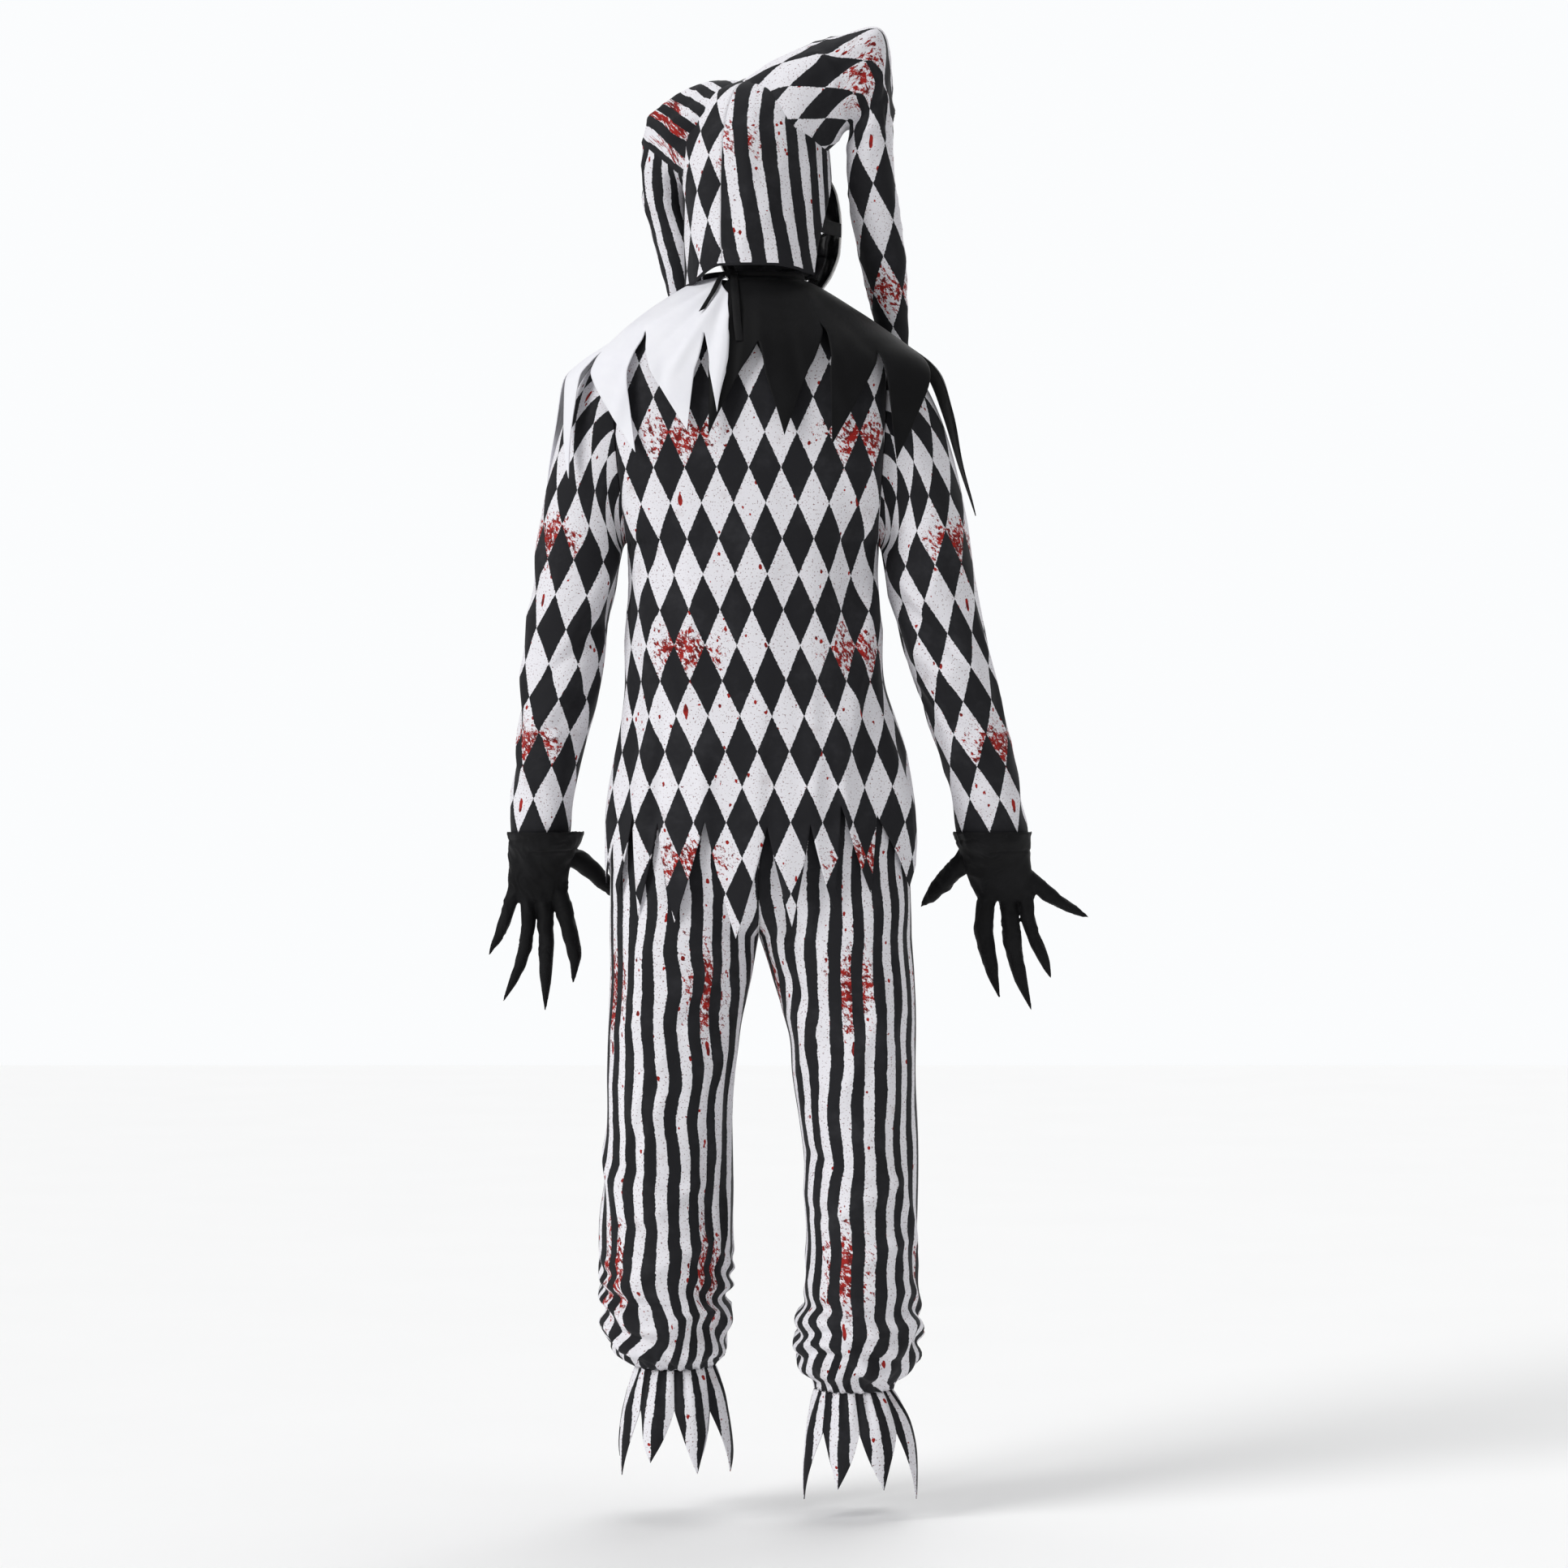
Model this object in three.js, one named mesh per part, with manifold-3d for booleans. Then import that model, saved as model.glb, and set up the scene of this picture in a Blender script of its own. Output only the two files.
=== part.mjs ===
// A jester costume as it is worn, seen as empty cloth: a two-horned hood with a face mask, a dagged
// collar tied at the back, a harlequin tunic, striped trousers with dagged ankle frills, and gloves
// with long pointed fingers.
// Millimetres. +X is the wearer's right, +Y the way the chest faces, +Z up. The origin is the middle of
// the base of the neck, where the costume is held up.
import * as THREE from 'three';
import { mergeVertices } from 'three/addons/utils/BufferGeometryUtils.js';
import Module from 'manifold-3d';

const wasm = await Module();
wasm.setup();

// Driving dimensions
const CLOTH = 1.4; // wall of the printed polyester
const GLOVE_CLOTH = 1.2; // wall of the stretch glove cloth
const SEAM = 0.3; // gap left between two pieces at a seam
const OVERLAY = 2.8; // how far the white collar edge is raised over the black one
const SHOULDER_Z = -74; // shoulder point of the tunic
const ARMPIT_Z = -336; // bottom of the armhole
const ARMHOLE_DEPTH = 75; // half the armhole, front to back
const NECK_Z = -10; // tunic neckline
const WAIST_Z = -450; // top edge of the trouser cloth
const CROTCH_Z = -845;
const HEAD = { x: 0, y: 12, yaw: -25 }; // the head looks to the wearer's right
const HOOD_CROWN_Z = 268;
const HOOD_HEM_Z = 16;

const { lerp: mix, clamp, degToRad, smoothstep } = THREE.MathUtils;
const bump = (x, centre, width) => Math.exp(-(((x - centre) / width) ** 2));

// A smooth curve, with no overshoot, through one named column of a table in the order of another.
function curveOf(rows, name, along = 'z') {
  const x = rows.map((row) => row[along]);
  const y = rows.map((row) => row[name]);
  const rate = y.slice(1).map((value, i) => (value - y[i]) / (x[i + 1] - x[i]));
  const slope = y.map((_, i) => {
    const before = rate[Math.max(i - 1, 0)];
    const after = rate[Math.min(i, rate.length - 1)];
    return before * after > 0 ? (2 * before * after) / (before + after) : 0;
  });
  const way = Math.sign(x[1] - x[0]);
  return (at) => {
    let i = 0;
    while (i < x.length - 2 && (at - x[i + 1]) * way > 0) i += 1;
    const span = x[i + 1] - x[i];
    const t = clamp((at - x[i]) / span, 0, 1);
    const rise = t * t * (3 - 2 * t);
    const leave = t * (1 - t) ** 2 * span * slope[i];
    const arrive = t * t * (t - 1) * span * slope[i + 1];
    return mix(y[i], y[i + 1], rise) + leave + arrive;
  };
}

// All the named columns of a table as curves.
function curvesOf(rows, along = 'z') {
  const names = Object.keys(rows[0]).filter((name) => name !== along);
  return Object.fromEntries(names.map((name) => [name, curveOf(rows, name, along)]));
}

// How solids are made

function signedVolume(points, faces) {
  const cross = new THREE.Vector3();
  return faces.reduce((sum, [a, b, c]) => sum + points[a].dot(cross.crossVectors(points[b], points[c])) / 6, 0);
}

// A closed geometry with its faces turned outwards.
function geometryOf(points, faces) {
  const outward = signedVolume(points, faces) < 0 ? faces.map(([a, b, c]) => [a, c, b]) : faces;
  const geometry = new THREE.BufferGeometry();
  geometry.setAttribute('position', new THREE.Float32BufferAttribute(points.flatMap((p) => [p.x, p.y, p.z]), 3));
  geometry.setIndex(outward.flat());
  return geometry;
}

// Rows of points on a surface: across runs round it, down runs along it. A ring closes on itself.
function gridOf({ point, across, down, ring = false }) {
  const columns = ring ? across : across + 1;
  return Array.from({ length: down + 1 }, (_, j) =>
    Array.from({ length: columns }, (_, i) => new THREE.Vector3(...point(i / across, j / down))),
  );
}

// Outward normals of a grid, on the side away from the point called core.
function normalsOf(rows, ring, core) {
  const columns = rows[0].length;
  const columnAt = (i) => (ring ? (i + columns) % columns : clamp(i, 0, columns - 1));
  const at = (j, i) => rows[clamp(j, 0, rows.length - 1)][columnAt(i)];
  const normals = rows.map((row, j) =>
    row.map((_, i) => {
      const acrossStep = new THREE.Vector3().subVectors(at(j, i + 1), at(j, i - 1));
      const downStep = new THREE.Vector3().subVectors(at(j + 1, i), at(j - 1, i));
      return acrossStep.cross(downStep).normalize();
    }),
  );
  const middle = new THREE.Vector3(...core);
  const facing = rows.flat().reduce((sum, p, k) => sum + p.clone().sub(middle).dot(normals.flat()[k]), 0);
  if (facing < 0) normals.flat().forEach((normal) => normal.negate());
  return normals;
}

// Takes the named axes out of a normal, so that a wall meets its neighbour squarely at a seam.
function squareUp(normal, axes = '') {
  for (const axis of axes) normal[axis] = 0;
  normal.normalize();
}

// Cloth as a closed wall: the surface is its outer face, and the inner face lies one thickness inside it.
// square.first and square.last name the axes to take out of the normals at the two side edges of a row.
function clothWall({ core, thick = CLOTH, square = {}, ...surface }) {
  const ring = surface.ring ?? false;
  const outer = gridOf(surface);
  const normals = normalsOf(outer, ring, core);
  normals.forEach((row, j) => {
    squareUp(row[0], square.first?.(j));
    squareUp(row[row.length - 1], square.last?.(j));
  });
  const inner = outer.map((row, j) => row.map((p, i) => p.clone().addScaledVector(normals[j][i], -thick)));
  const columns = outer[0].length;
  const last = outer.length - 1;
  const layer = outer.length * columns;
  const id = (side, j, i) => side * layer + j * columns + ((i + columns) % columns);
  const faces = [];
  const quad = (a, b, c, d) => faces.push([a, b, c], [a, c, d]);
  const spans = ring ? columns : columns - 1;
  for (let i = 0; i < spans; i += 1) {
    for (let j = 0; j < last; j += 1) {
      quad(id(0, j, i), id(0, j + 1, i), id(0, j + 1, i + 1), id(0, j, i + 1));
      quad(id(1, j, i), id(1, j, i + 1), id(1, j + 1, i + 1), id(1, j + 1, i));
    }
    quad(id(0, 0, i), id(0, 0, i + 1), id(1, 0, i + 1), id(1, 0, i));
    quad(id(0, last, i + 1), id(0, last, i), id(1, last, i), id(1, last, i + 1));
  }
  for (let j = 0; j < last && !ring; j += 1) {
    quad(id(0, j + 1, 0), id(0, j, 0), id(1, j, 0), id(1, j + 1, 0));
    quad(id(0, j, spans), id(0, j + 1, spans), id(1, j + 1, spans), id(1, j, spans));
  }
  return geometryOf([...outer.flat(), ...inner.flat()], faces);
}

// A filled ring surface, closed by a fan at each end.
function filled(rows) {
  const columns = rows[0].length;
  const points = rows.flat();
  const centreOf = (row) => row.reduce((sum, p) => sum.add(p), new THREE.Vector3()).divideScalar(columns);
  const first = points.push(centreOf(rows[0])) - 1;
  const end = points.push(centreOf(rows[rows.length - 1])) - 1;
  const id = (j, i) => j * columns + (i % columns);
  const faces = [];
  for (let i = 0; i < columns; i += 1) {
    for (let j = 0; j < rows.length - 1; j += 1) {
      faces.push([id(j, i), id(j + 1, i), id(j + 1, i + 1)], [id(j, i), id(j + 1, i + 1), id(j, i + 1)]);
    }
    faces.push([first, id(0, i), id(0, i + 1)], [end, id(rows.length - 1, i + 1), id(rows.length - 1, i)]);
  }
  return geometryOf(points, faces);
}

function toManifold(geometry) {
  const plain = geometry.clone();
  plain.deleteAttribute('normal');
  plain.deleteAttribute('uv');
  const merged = mergeVertices(plain, 1e-4);
  return new wasm.Manifold(
    new wasm.Mesh({
      numProp: 3,
      vertProperties: merged.attributes.position.array,
      triVerts: new Uint32Array(merged.index.array),
    }),
  );
}

function fromManifold(solid) {
  const mesh = solid.getMesh();
  const geometry = new THREE.BufferGeometry();
  geometry.setAttribute('position', new THREE.BufferAttribute(mesh.vertProperties, mesh.numProp));
  geometry.setIndex(new THREE.BufferAttribute(mesh.triVerts, 1));
  return geometry;
}

// Points nearer to each other than this are made one, and the slivers and the folded-up pairs of faces
// that this leaves are dropped.
const CLOSEST = 0.16;
function welded(geometry) {
  const place = geometry.attributes.position;
  const order = geometry.index ? Array.from(geometry.index.array) : Array.from({ length: place.count }, (_, i) => i);
  const points = Array.from({ length: place.count }, (_, i) => new THREE.Vector3().fromBufferAttribute(place, i));
  const kept = [];
  const keptOf = points.map((point) => {
    const known = kept.findIndex((other) => other.distanceToSquared(point) < CLOSEST ** 2);
    return known < 0 ? kept.push(point) - 1 : known;
  });
  const faces = Array.from({ length: order.length / 3 }, (_, k) => order.slice(k * 3, k * 3 + 3).map((i) => keptOf[i]));
  const open = faces.filter(([a, b, c]) => a !== b && b !== c && c !== a);
  const nameOf = (face) => [...face].sort().join();
  const uses = new Map();
  open.forEach((face) => uses.set(nameOf(face), (uses.get(nameOf(face)) ?? 0) + 1));
  return geometryOf(kept, open.filter((face) => uses.get(nameOf(face)) === 1));
}

const cut = (geometry, ...tools) =>
  fromManifold(tools.reduce((solid, tool) => solid.subtract(toManifold(tool)), toManifold(geometry)));

const joined = (geometries) => geometries.map(toManifold).reduce((sum, solid) => sum.add(solid));

// Where a value lies among grid lines, counted in cells, and the value at such a place.
function cellOf(lines, value) {
  const way = Math.sign(lines[1] - lines[0]);
  let k = 0;
  while (k < lines.length - 2 && (value - lines[k + 1]) * way > 0) k += 1;
  return k + (value - lines[k]) / (lines[k + 1] - lines[k]);
}

function valueOf(lines, cell) {
  const k = clamp(Math.floor(cell), 0, lines.length - 2);
  return mix(lines[k], lines[k + 1], cell - k);
}

// A square grid of cloth, one unit thick, trimmed by an outline counted in cells. It is bowed a little
// while it is cut, so that no grid line is lost. Returns its corners, each with its layer, and its faces.
const BOW = 0.002;
function trimmedGrid(wide, high, outline) {
  const bow = (x, y) => BOW * (x ** 2 + y ** 2);
  const sheet = new THREE.BoxGeometry(wide, high, 1, wide, high, 1).translate(wide / 2, high / 2, 0.5);
  const grid = sheet.attributes.position;
  for (let i = 0; i < grid.count; i += 1) grid.setZ(i, grid.getZ(i) + bow(grid.getX(i), grid.getY(i)));
  const knife = new THREE.ExtrudeGeometry(new THREE.Shape(outline), { depth: 6, bevelEnabled: false });
  const flat = fromManifold(toManifold(sheet).intersect(toManifold(knife.translate(0, 0, -2))));
  const place = flat.attributes.position;
  const corners = Array.from({ length: place.count }, (_, i) => {
    const [x, y] = [place.getX(i), place.getY(i)];
    return { x, y, layer: Math.round(place.getZ(i) - bow(x, y)) };
  });
  const order = Array.from(flat.index.array);
  return { corners, faces: Array.from({ length: order.length / 3 }, (_, k) => order.slice(k * 3, k * 3 + 3)) };
}

// Cloth cut flat and then wrapped on to a surface. place(s, z) is the outer point for a place s across
// the pattern and a height z. The pattern is a grid of columns and rows, trimmed by its outline, whose
// curved edges are drawn in EDGE_STEPS steps.
const EDGE_STEPS = 2;
function wrappedCloth({ place, core, columns, rows, outline, thick = CLOTH }) {
  const trim = outline.getPoints(EDGE_STEPS).map((p) => new THREE.Vector2(cellOf(columns, p.x), cellOf(rows, p.y)));
  const { corners, faces } = trimmedGrid(columns.length - 1, rows.length - 1, trim);
  const middle = new THREE.Vector3(...core);
  const at = (s, z) => new THREE.Vector3(...place(s, z));
  const points = corners.map(({ x, y, layer }) => {
    const [s, z] = [valueOf(columns, x), valueOf(rows, y)];
    const acrossStep = at(s + 0.5, z).sub(at(s - 0.5, z));
    const normal = acrossStep.cross(at(s, z - 1).sub(at(s, z + 1))).normalize();
    const point = at(s, z);
    if (point.clone().sub(middle).dot(normal) < 0) normal.negate();
    return point.addScaledVector(normal, -thick * (1 - layer));
  });
  return geometryOf(points, faces);
}

// The flat outline of a piece: its top edge, the side edge it starts with, and a hem of tongues. Each
// tongue has its point at (s, z) and the cut after it at (cutS, cutZ). belly swells a tongue's sides.
function daggedOutline({ top, start, tongues, belly }) {
  const shape = new THREE.Shape();
  shape.moveTo(start[0].s, top);
  for (const { s, z } of start) shape.lineTo(s, z);
  let from = start[start.length - 1];
  for (const tongue of tongues) {
    const to = { s: tongue.cutS, z: tongue.cutZ };
    for (const [a, b, swell] of [[from, tongue, -belly], [tongue, to, belly]]) {
      shape.quadraticCurveTo(mix(a.s, b.s, 0.5) + swell, mix(a.z, b.z, 0.5), b.s, b.z);
    }
    from = to;
  }
  shape.lineTo(from.s, top);
  return shape;
}

const evenly = (from, to, count) => Array.from({ length: count + 1 }, (_, i) => mix(from, to, i / count));

// The rows of a round tube along a table of centres x, y, z and radii r. Its inside, drawn with a
// smaller radius, stops short of the tip.
const TIP_SHARE = 0.1;
function tubeRows(stations, sides, steps, shrink = 0) {
  const path = new THREE.CatmullRomCurve3(stations.map((s) => new THREE.Vector3(s.x, s.y, s.z)));
  const radius = curveOf(stations.map((s, i) => ({ t: i / (stations.length - 1), r: s.r })), 'r', 't');
  const level = new THREE.Vector3(0, 1, 0);
  return Array.from({ length: steps + 1 }, (_, j) => {
    const t = (j / steps) * (shrink > 0 ? 1 - TIP_SHARE : 1);
    const centre = path.getPoint(t);
    const wide = path.getTangent(t).cross(level).normalize();
    const deep = path.getTangent(t).cross(wide).normalize();
    const r = radius(t) - shrink;
    return Array.from({ length: sides }, (_, i) => {
      const angle = (i / sides) * 2 * Math.PI;
      return centre.clone().addScaledVector(wide, r * Math.cos(angle)).addScaledVector(deep, r * Math.sin(angle));
    });
  });
}

// Materials and pieces

const finish = (color, roughness, metalness = 0) => new THREE.MeshStandardMaterial({ color, roughness, metalness });
const harlequin = finish(0x87868a, 0.8);
const striped = finish(0x7a797d, 0.8);
const whiteCloth = finish(0xdfdfe8, 0.82);
const blackCloth = finish(0x121113, 0.85);
const gloveCloth = finish(0x0d0c0e, 0.7);
const maskShell = finish(0xe6e2dc, 0.4);

const costume = new THREE.Group();
function piece(name, geometry, material) {
  const mesh = new THREE.Mesh(welded(geometry), material);
  mesh.name = name;
  costume.add(mesh);
}

// Tunic: front and back panels meet at side and shoulder seams, and the armholes are left open.
// a is half the width, back and front the depth either side of the shoulder line, cx the middle.
const torso = curvesOf([
  { z: -10, a: 90, back: 70, front: 66, cx: -6 },
  { z: -29, a: 116, back: 85, front: 79, cx: -8 },
  { z: -55, a: 155, back: 99, front: 92, cx: -9 },
  { z: -74, a: 175, back: 108, front: 101, cx: -11 },
  { z: -118, a: 175, back: 118, front: 110, cx: -11 },
  { z: -205, a: 172, back: 128, front: 121, cx: -11.5 },
  { z: -336, a: 161, back: 127, front: 121, cx: -9 },
  { z: -389, a: 158, back: 121, front: 116, cx: -8 },
  { z: -464, a: 164, back: 117, front: 113, cx: -6.5 },
  { z: -515, a: 168, back: 117, front: 113, cx: -4.5 },
  { z: -565, a: 177, back: 121, front: 115, cx: -2 },
  { z: -615, a: 188, back: 127, front: 119, cx: 0 },
  { z: -693, a: 198, back: 133, front: 125, cx: 1 },
  { z: -850, a: 198, back: 139, front: 129, cx: 1 },
]);
const armholeHalf = (SHOULDER_Z - ARMPIT_Z) / 2;
const armholeMid = (SHOULDER_Z + ARMPIT_Z) / 2;
const roundness = (z) => mix(2, 2.35, smoothstep(-z, 20, 110));

// Depth of the armhole edge at a height: an ellipse between shoulder point and armpit.
function armholeEdge(z) {
  const t = (z - armholeMid) / armholeHalf;
  return ARMHOLE_DEPTH * Math.sqrt(Math.max(1 - t * t, 0));
}

// The largest soft folds of a panel: the angle where each runs, its width, depth and two heights.
const BACK_FOLDS = [
  { at: -63, wide: 9, deep: 6, top: -330, foot: -720 },
  { at: -36, wide: 9, deep: 4, top: -540, foot: -800 },
  { at: 18, wide: 9, deep: 3.5, top: -240, foot: -500 },
  { at: 54, wide: 9, deep: 6, top: -270, foot: -740 },
];
const FRONT_FOLDS = [
  { at: -54, wide: 9, deep: 6, top: -340, foot: -740 },
  { at: -18, wide: 9, deep: 4, top: -520, foot: -800 },
  { at: 27, wide: 9, deep: 4, top: -480, foot: -790 },
  { at: 63, wide: 9, deep: 5, top: -330, foot: -740 },
];

function foldDepth(folds, angle, z) {
  return folds.reduce((sum, fold) => {
    const begins = smoothstep(-z, -fold.top, -fold.top + 90);
    const ends = 1 - smoothstep(-z, -fold.foot - 60, -fold.foot + 40);
    return sum + fold.deep * begins * ends * bump(angle, fold.at, fold.wide);
  }, 0);
}

// A point of the body cloth. angle runs from -90 at the left side seam to 90 at the right one.
function bodyPoint(angle, z, depth, facing, folds) {
  const turn = degToRad(angle);
  const edge = armholeEdge(z);
  const reach = Math.sign(Math.cos(turn)) * Math.abs(Math.cos(turn)) ** (2 / roundness(z));
  const inset = foldDepth(folds, angle, z);
  return [
    torso.cx(z) + (torso.a(z) - inset * Math.sin(turn) ** 2) * Math.sin(turn),
    facing * (SEAM / 2 + edge + (depth(z) - edge - inset) * reach),
    z,
  ];
}

// The dags of the back hem from the wearer's left side seam to the right one. The front has them mirrored.
const HEM_START = { s: -90, z: -705 };
const HEM_DAGS = [
  { s: -79, z: -775, cutS: -71, cutZ: -722 },
  { s: -63.5, z: -794, cutS: -53.5, cutZ: -682 },
  { s: -50.5, z: -815, cutS: -41, cutZ: -696 },
  { s: -33, z: -823, cutS: -20, cutZ: -695 },
  { s: -8.5, z: -843, cutS: 3, cutZ: -701 },
  { s: 12, z: -828, cutS: 19, cutZ: -698 },
  { s: 28.5, z: -805, cutS: 31.5, cutZ: -674 },
  { s: 45.5, z: -785, cutS: 50.5, cutZ: -686 },
  { s: 74, z: -779, cutS: 90, cutZ: -705 },
];
const TUNIC_ROWS = [
  NECK_Z, -30, -52, SHOULDER_Z, -92, -120, -162, -208, -258, -302, ARMPIT_Z, -432, -542, -642, -703, -845,
];

function tunicPanel(facing, depth, folds) {
  return wrappedCloth({
    place: (angle, z) => bodyPoint(facing * -angle, z, depth, facing, folds),
    core: [0, facing * 40, -400],
    columns: evenly(-90, 90, 15),
    rows: TUNIC_ROWS,
    outline: daggedOutline({ top: NECK_Z, start: [HEM_START], tongues: HEM_DAGS, belly: 1 }),
  });
}

piece('tunic_back', tunicPanel(-1, torso.back, BACK_FOLDS), harlequin);
piece('tunic_front', tunicPanel(1, torso.front, FRONT_FOLDS), harlequin);

// Sleeves: each starts as the armhole ring and turns down into flat-laid ovals.
// out and in are the outer and inner edges, measured from the middle of the body; y is the middle of
// the sleeve front to back and deep is half its depth.
const SLEEVE_TABLES = {
  left: [
    { z: -352, out: 288, in: 177, y: 0, deep: 68 },
    { z: -389, out: 290, in: 183, y: 2, deep: 66 },
    { z: -439, out: 297, in: 195, y: 4, deep: 62 },
    { z: -489, out: 302, in: 200, y: 7, deep: 59 },
    { z: -540, out: 309, in: 209, y: 12, deep: 55 },
    { z: -590, out: 314, in: 224, y: 19, deep: 50 },
    { z: -640, out: 319, in: 236, y: 28, deep: 46 },
    { z: -690, out: 323, in: 246, y: 37, deep: 43 },
    { z: -722, out: 324.5, in: 249, y: 41, deep: 41 },
  ],
  right: [
    { z: -352, out: 276, in: 162, y: 0, deep: 68 },
    { z: -389, out: 282, in: 168, y: 2, deep: 66 },
    { z: -439, out: 292, in: 179.5, y: 4, deep: 62 },
    { z: -489, out: 303.5, in: 193, y: 7, deep: 59 },
    { z: -540, out: 315, in: 210, y: 12, deep: 55 },
    { z: -590, out: 325.5, in: 227, y: 19, deep: 50 },
    { z: -640, out: 337, in: 246, y: 28, deep: 46 },
    { z: -690, out: 347.5, in: 257, y: 37, deep: 43 },
    { z: -722, out: 352.5, in: 260, y: 41, deep: 41 },
  ],
};
const sleeves = Object.fromEntries(Object.entries(SLEEVE_TABLES).map(([side, rows]) => [side, curvesOf(rows)]));
const CAP_SHARE = 0.34; // share of the sleeve's rows spent on its cap
const SLEEVE_TOP_Z = -352;
const SLEEVE_END_Z = -722;
const CAP_INSET = 2; // the ring lies this far inside the armhole
const CAP_GAP = 0.7; // and this far out from the body cloth

function ovalPoint(sleeve, side, turn, z) {
  const centre = (sleeve.out(z) + sleeve.in(z)) / 2;
  const wide = (sleeve.out(z) - sleeve.in(z)) / 2;
  return [side * (centre + wide * Math.cos(turn)), sleeve.y(z) + sleeve.deep(z) * Math.sin(turn), z];
}

function sleevePoint(name, u, v) {
  const side = name === 'left' ? -1 : 1;
  const sleeve = sleeves[name];
  const turn = u * 2 * Math.PI;
  if (v > CAP_SHARE) {
    return ovalPoint(sleeve, side, turn, mix(SLEEVE_TOP_Z, SLEEVE_END_Z, (v - CAP_SHARE) / (1 - CAP_SHARE)));
  }
  const z = armholeMid + (armholeHalf - CAP_INSET) * Math.cos(turn);
  const start = [torso.cx(z) + side * (torso.a(z) + CAP_GAP), (ARMHOLE_DEPTH - CAP_INSET) * Math.sin(turn), z];
  const end = ovalPoint(sleeve, side, turn, SLEEVE_TOP_Z);
  const bend = [mix(start[0], end[0], 0.74), mix(start[1], end[1], 0.5), mix(z, SLEEVE_TOP_Z, 0.153)];
  const t = v / CAP_SHARE;
  return [0, 1, 2].map((k) => (1 - t) ** 2 * start[k] + 2 * t * (1 - t) * bend[k] + t * t * end[k]);
}

for (const [name, x] of [['left', -240], ['right', 240]]) {
  const wall = clothWall({
    core: [x, 0, -400],
    across: 14,
    down: 12,
    ring: true,
    point: (u, v) => sleevePoint(name, u, v),
  });
  piece(`sleeve_${name}`, wall, harlequin);
}

// Collar: a dagged capelet, white on the wearer's left and black on the right, joined at the front and
// open at the back, where the white edge lies over the black one.
const capelet = curvesOf([
  { z: 5, a: 66, back: 58, front: 57, cx: -7 },
  { z: 0, a: 80, back: 69, front: 66, cx: -9 },
  { z: -8, a: 95, back: 77, front: 73, cx: -9 },
  { z: -29, a: 128.5, back: 92, front: 86, cx: -9 },
  { z: -42, a: 147.5, back: 99, front: 92, cx: -8 },
  { z: -55, a: 165, back: 106, front: 98, cx: -7 },
  { z: -80, a: 195, back: 117, front: 108, cx: -3 },
  { z: -105, a: 228, back: 124, front: 115, cx: -4 },
  { z: -125, a: 243.5, back: 128, front: 119, cx: -7 },
  { z: -162, a: 251, back: 133, front: 125, cx: -7 },
  { z: -212, a: 260, back: 137, front: 130, cx: -7 },
  { z: -305, a: 281, back: 140, front: 133, cx: -6 },
]);
const SHOULDER_EDGE_Z = -70; // below it the collar hangs straight at back and front and spreads at the sides
const COLLAR_TOP_Z = 5;
const COLLAR_START = {
  white: [
    { s: 30, z: 5 },
    { s: 24, z: -6 },
    { s: 14.4, z: -20 },
    { s: 10.4, z: -52 },
    { s: 10.4, z: -126 },
  ],
  black: [
    { s: -22, z: 5 },
    { s: -20.5, z: -6 },
    { s: -19.5, z: -20 },
    { s: -16, z: -52 },
    { s: -17.5, z: -126 },
  ],
};

// The tongues of each half from the back opening round to the front seam.
const COLLAR_TONGUES = {
  white: [
    { s: 13.6, z: -177, cutS: 20.4, cutZ: -73 },
    { s: 24.7, z: -200, cutS: 49.9, cutZ: -67 },
    { s: 43, z: -226, cutS: 70, cutZ: -92 },
    { s: 66.3, z: -257, cutS: 83, cutZ: -108 },
    { s: 99, z: -262, cutS: 112, cutZ: -84 },
    { s: 122, z: -232, cutS: 136, cutZ: -72 },
    { s: 146, z: -214, cutS: 158, cutZ: -70 },
    { s: 168, z: -205, cutS: 180, cutZ: -76 },
  ],
  black: [
    { s: -17.3, z: -206, cutS: 0.8, cutZ: -85 },
    { s: 12.2, z: -206, cutS: 29, cutZ: -59 },
    { s: 29.8, z: -217, cutS: 50.7, cutZ: -93 },
    { s: 52, z: -234, cutS: 77.6, cutZ: -90 },
    { s: 93, z: -300, cutS: 108, cutZ: -100 },
    { s: 120, z: -236, cutS: 134, cutZ: -74 },
    { s: 145, z: -214, cutS: 158, cutZ: -70 },
    { s: 168, z: -205, cutS: 180, cutZ: -76 },
  ],
};
const COLLAR_ROWS = [COLLAR_TOP_Z, -4, -16, -34, -54, -74, -94, -112, -132, -172, -225, -305];
const COLLAR_COLUMNS = [20, 31, 42, 53, 64, 74, 82, 90, 98, 106, 116, 127, 140, 153, 166, 180];

// s is 0 at the middle of the back and 180 at the middle of the front.
function collarPoint(side, s, z, lift) {
  const turn = degToRad(s);
  const spread = Math.max(capelet.a(z) / capelet.a(SHOULDER_EDGE_Z), 1) ** Math.cos(turn) ** 2;
  const sine = Math.sin(turn) / spread;
  const cosine = Math.sign(Math.cos(turn)) * Math.sqrt(1 - sine ** 2);
  const reach = Math.sign(cosine) * Math.abs(cosine) ** (2 / (roundness(z) + 0.1));
  const depth = cosine > 0 ? capelet.back(z) : capelet.front(z);
  const raise = lift * (1 - smoothstep(s, 18, 42));
  return [capelet.cx(z) + side * (SEAM / 2 + (capelet.a(z) + raise) * sine), -(depth + raise) * reach, z];
}

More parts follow.
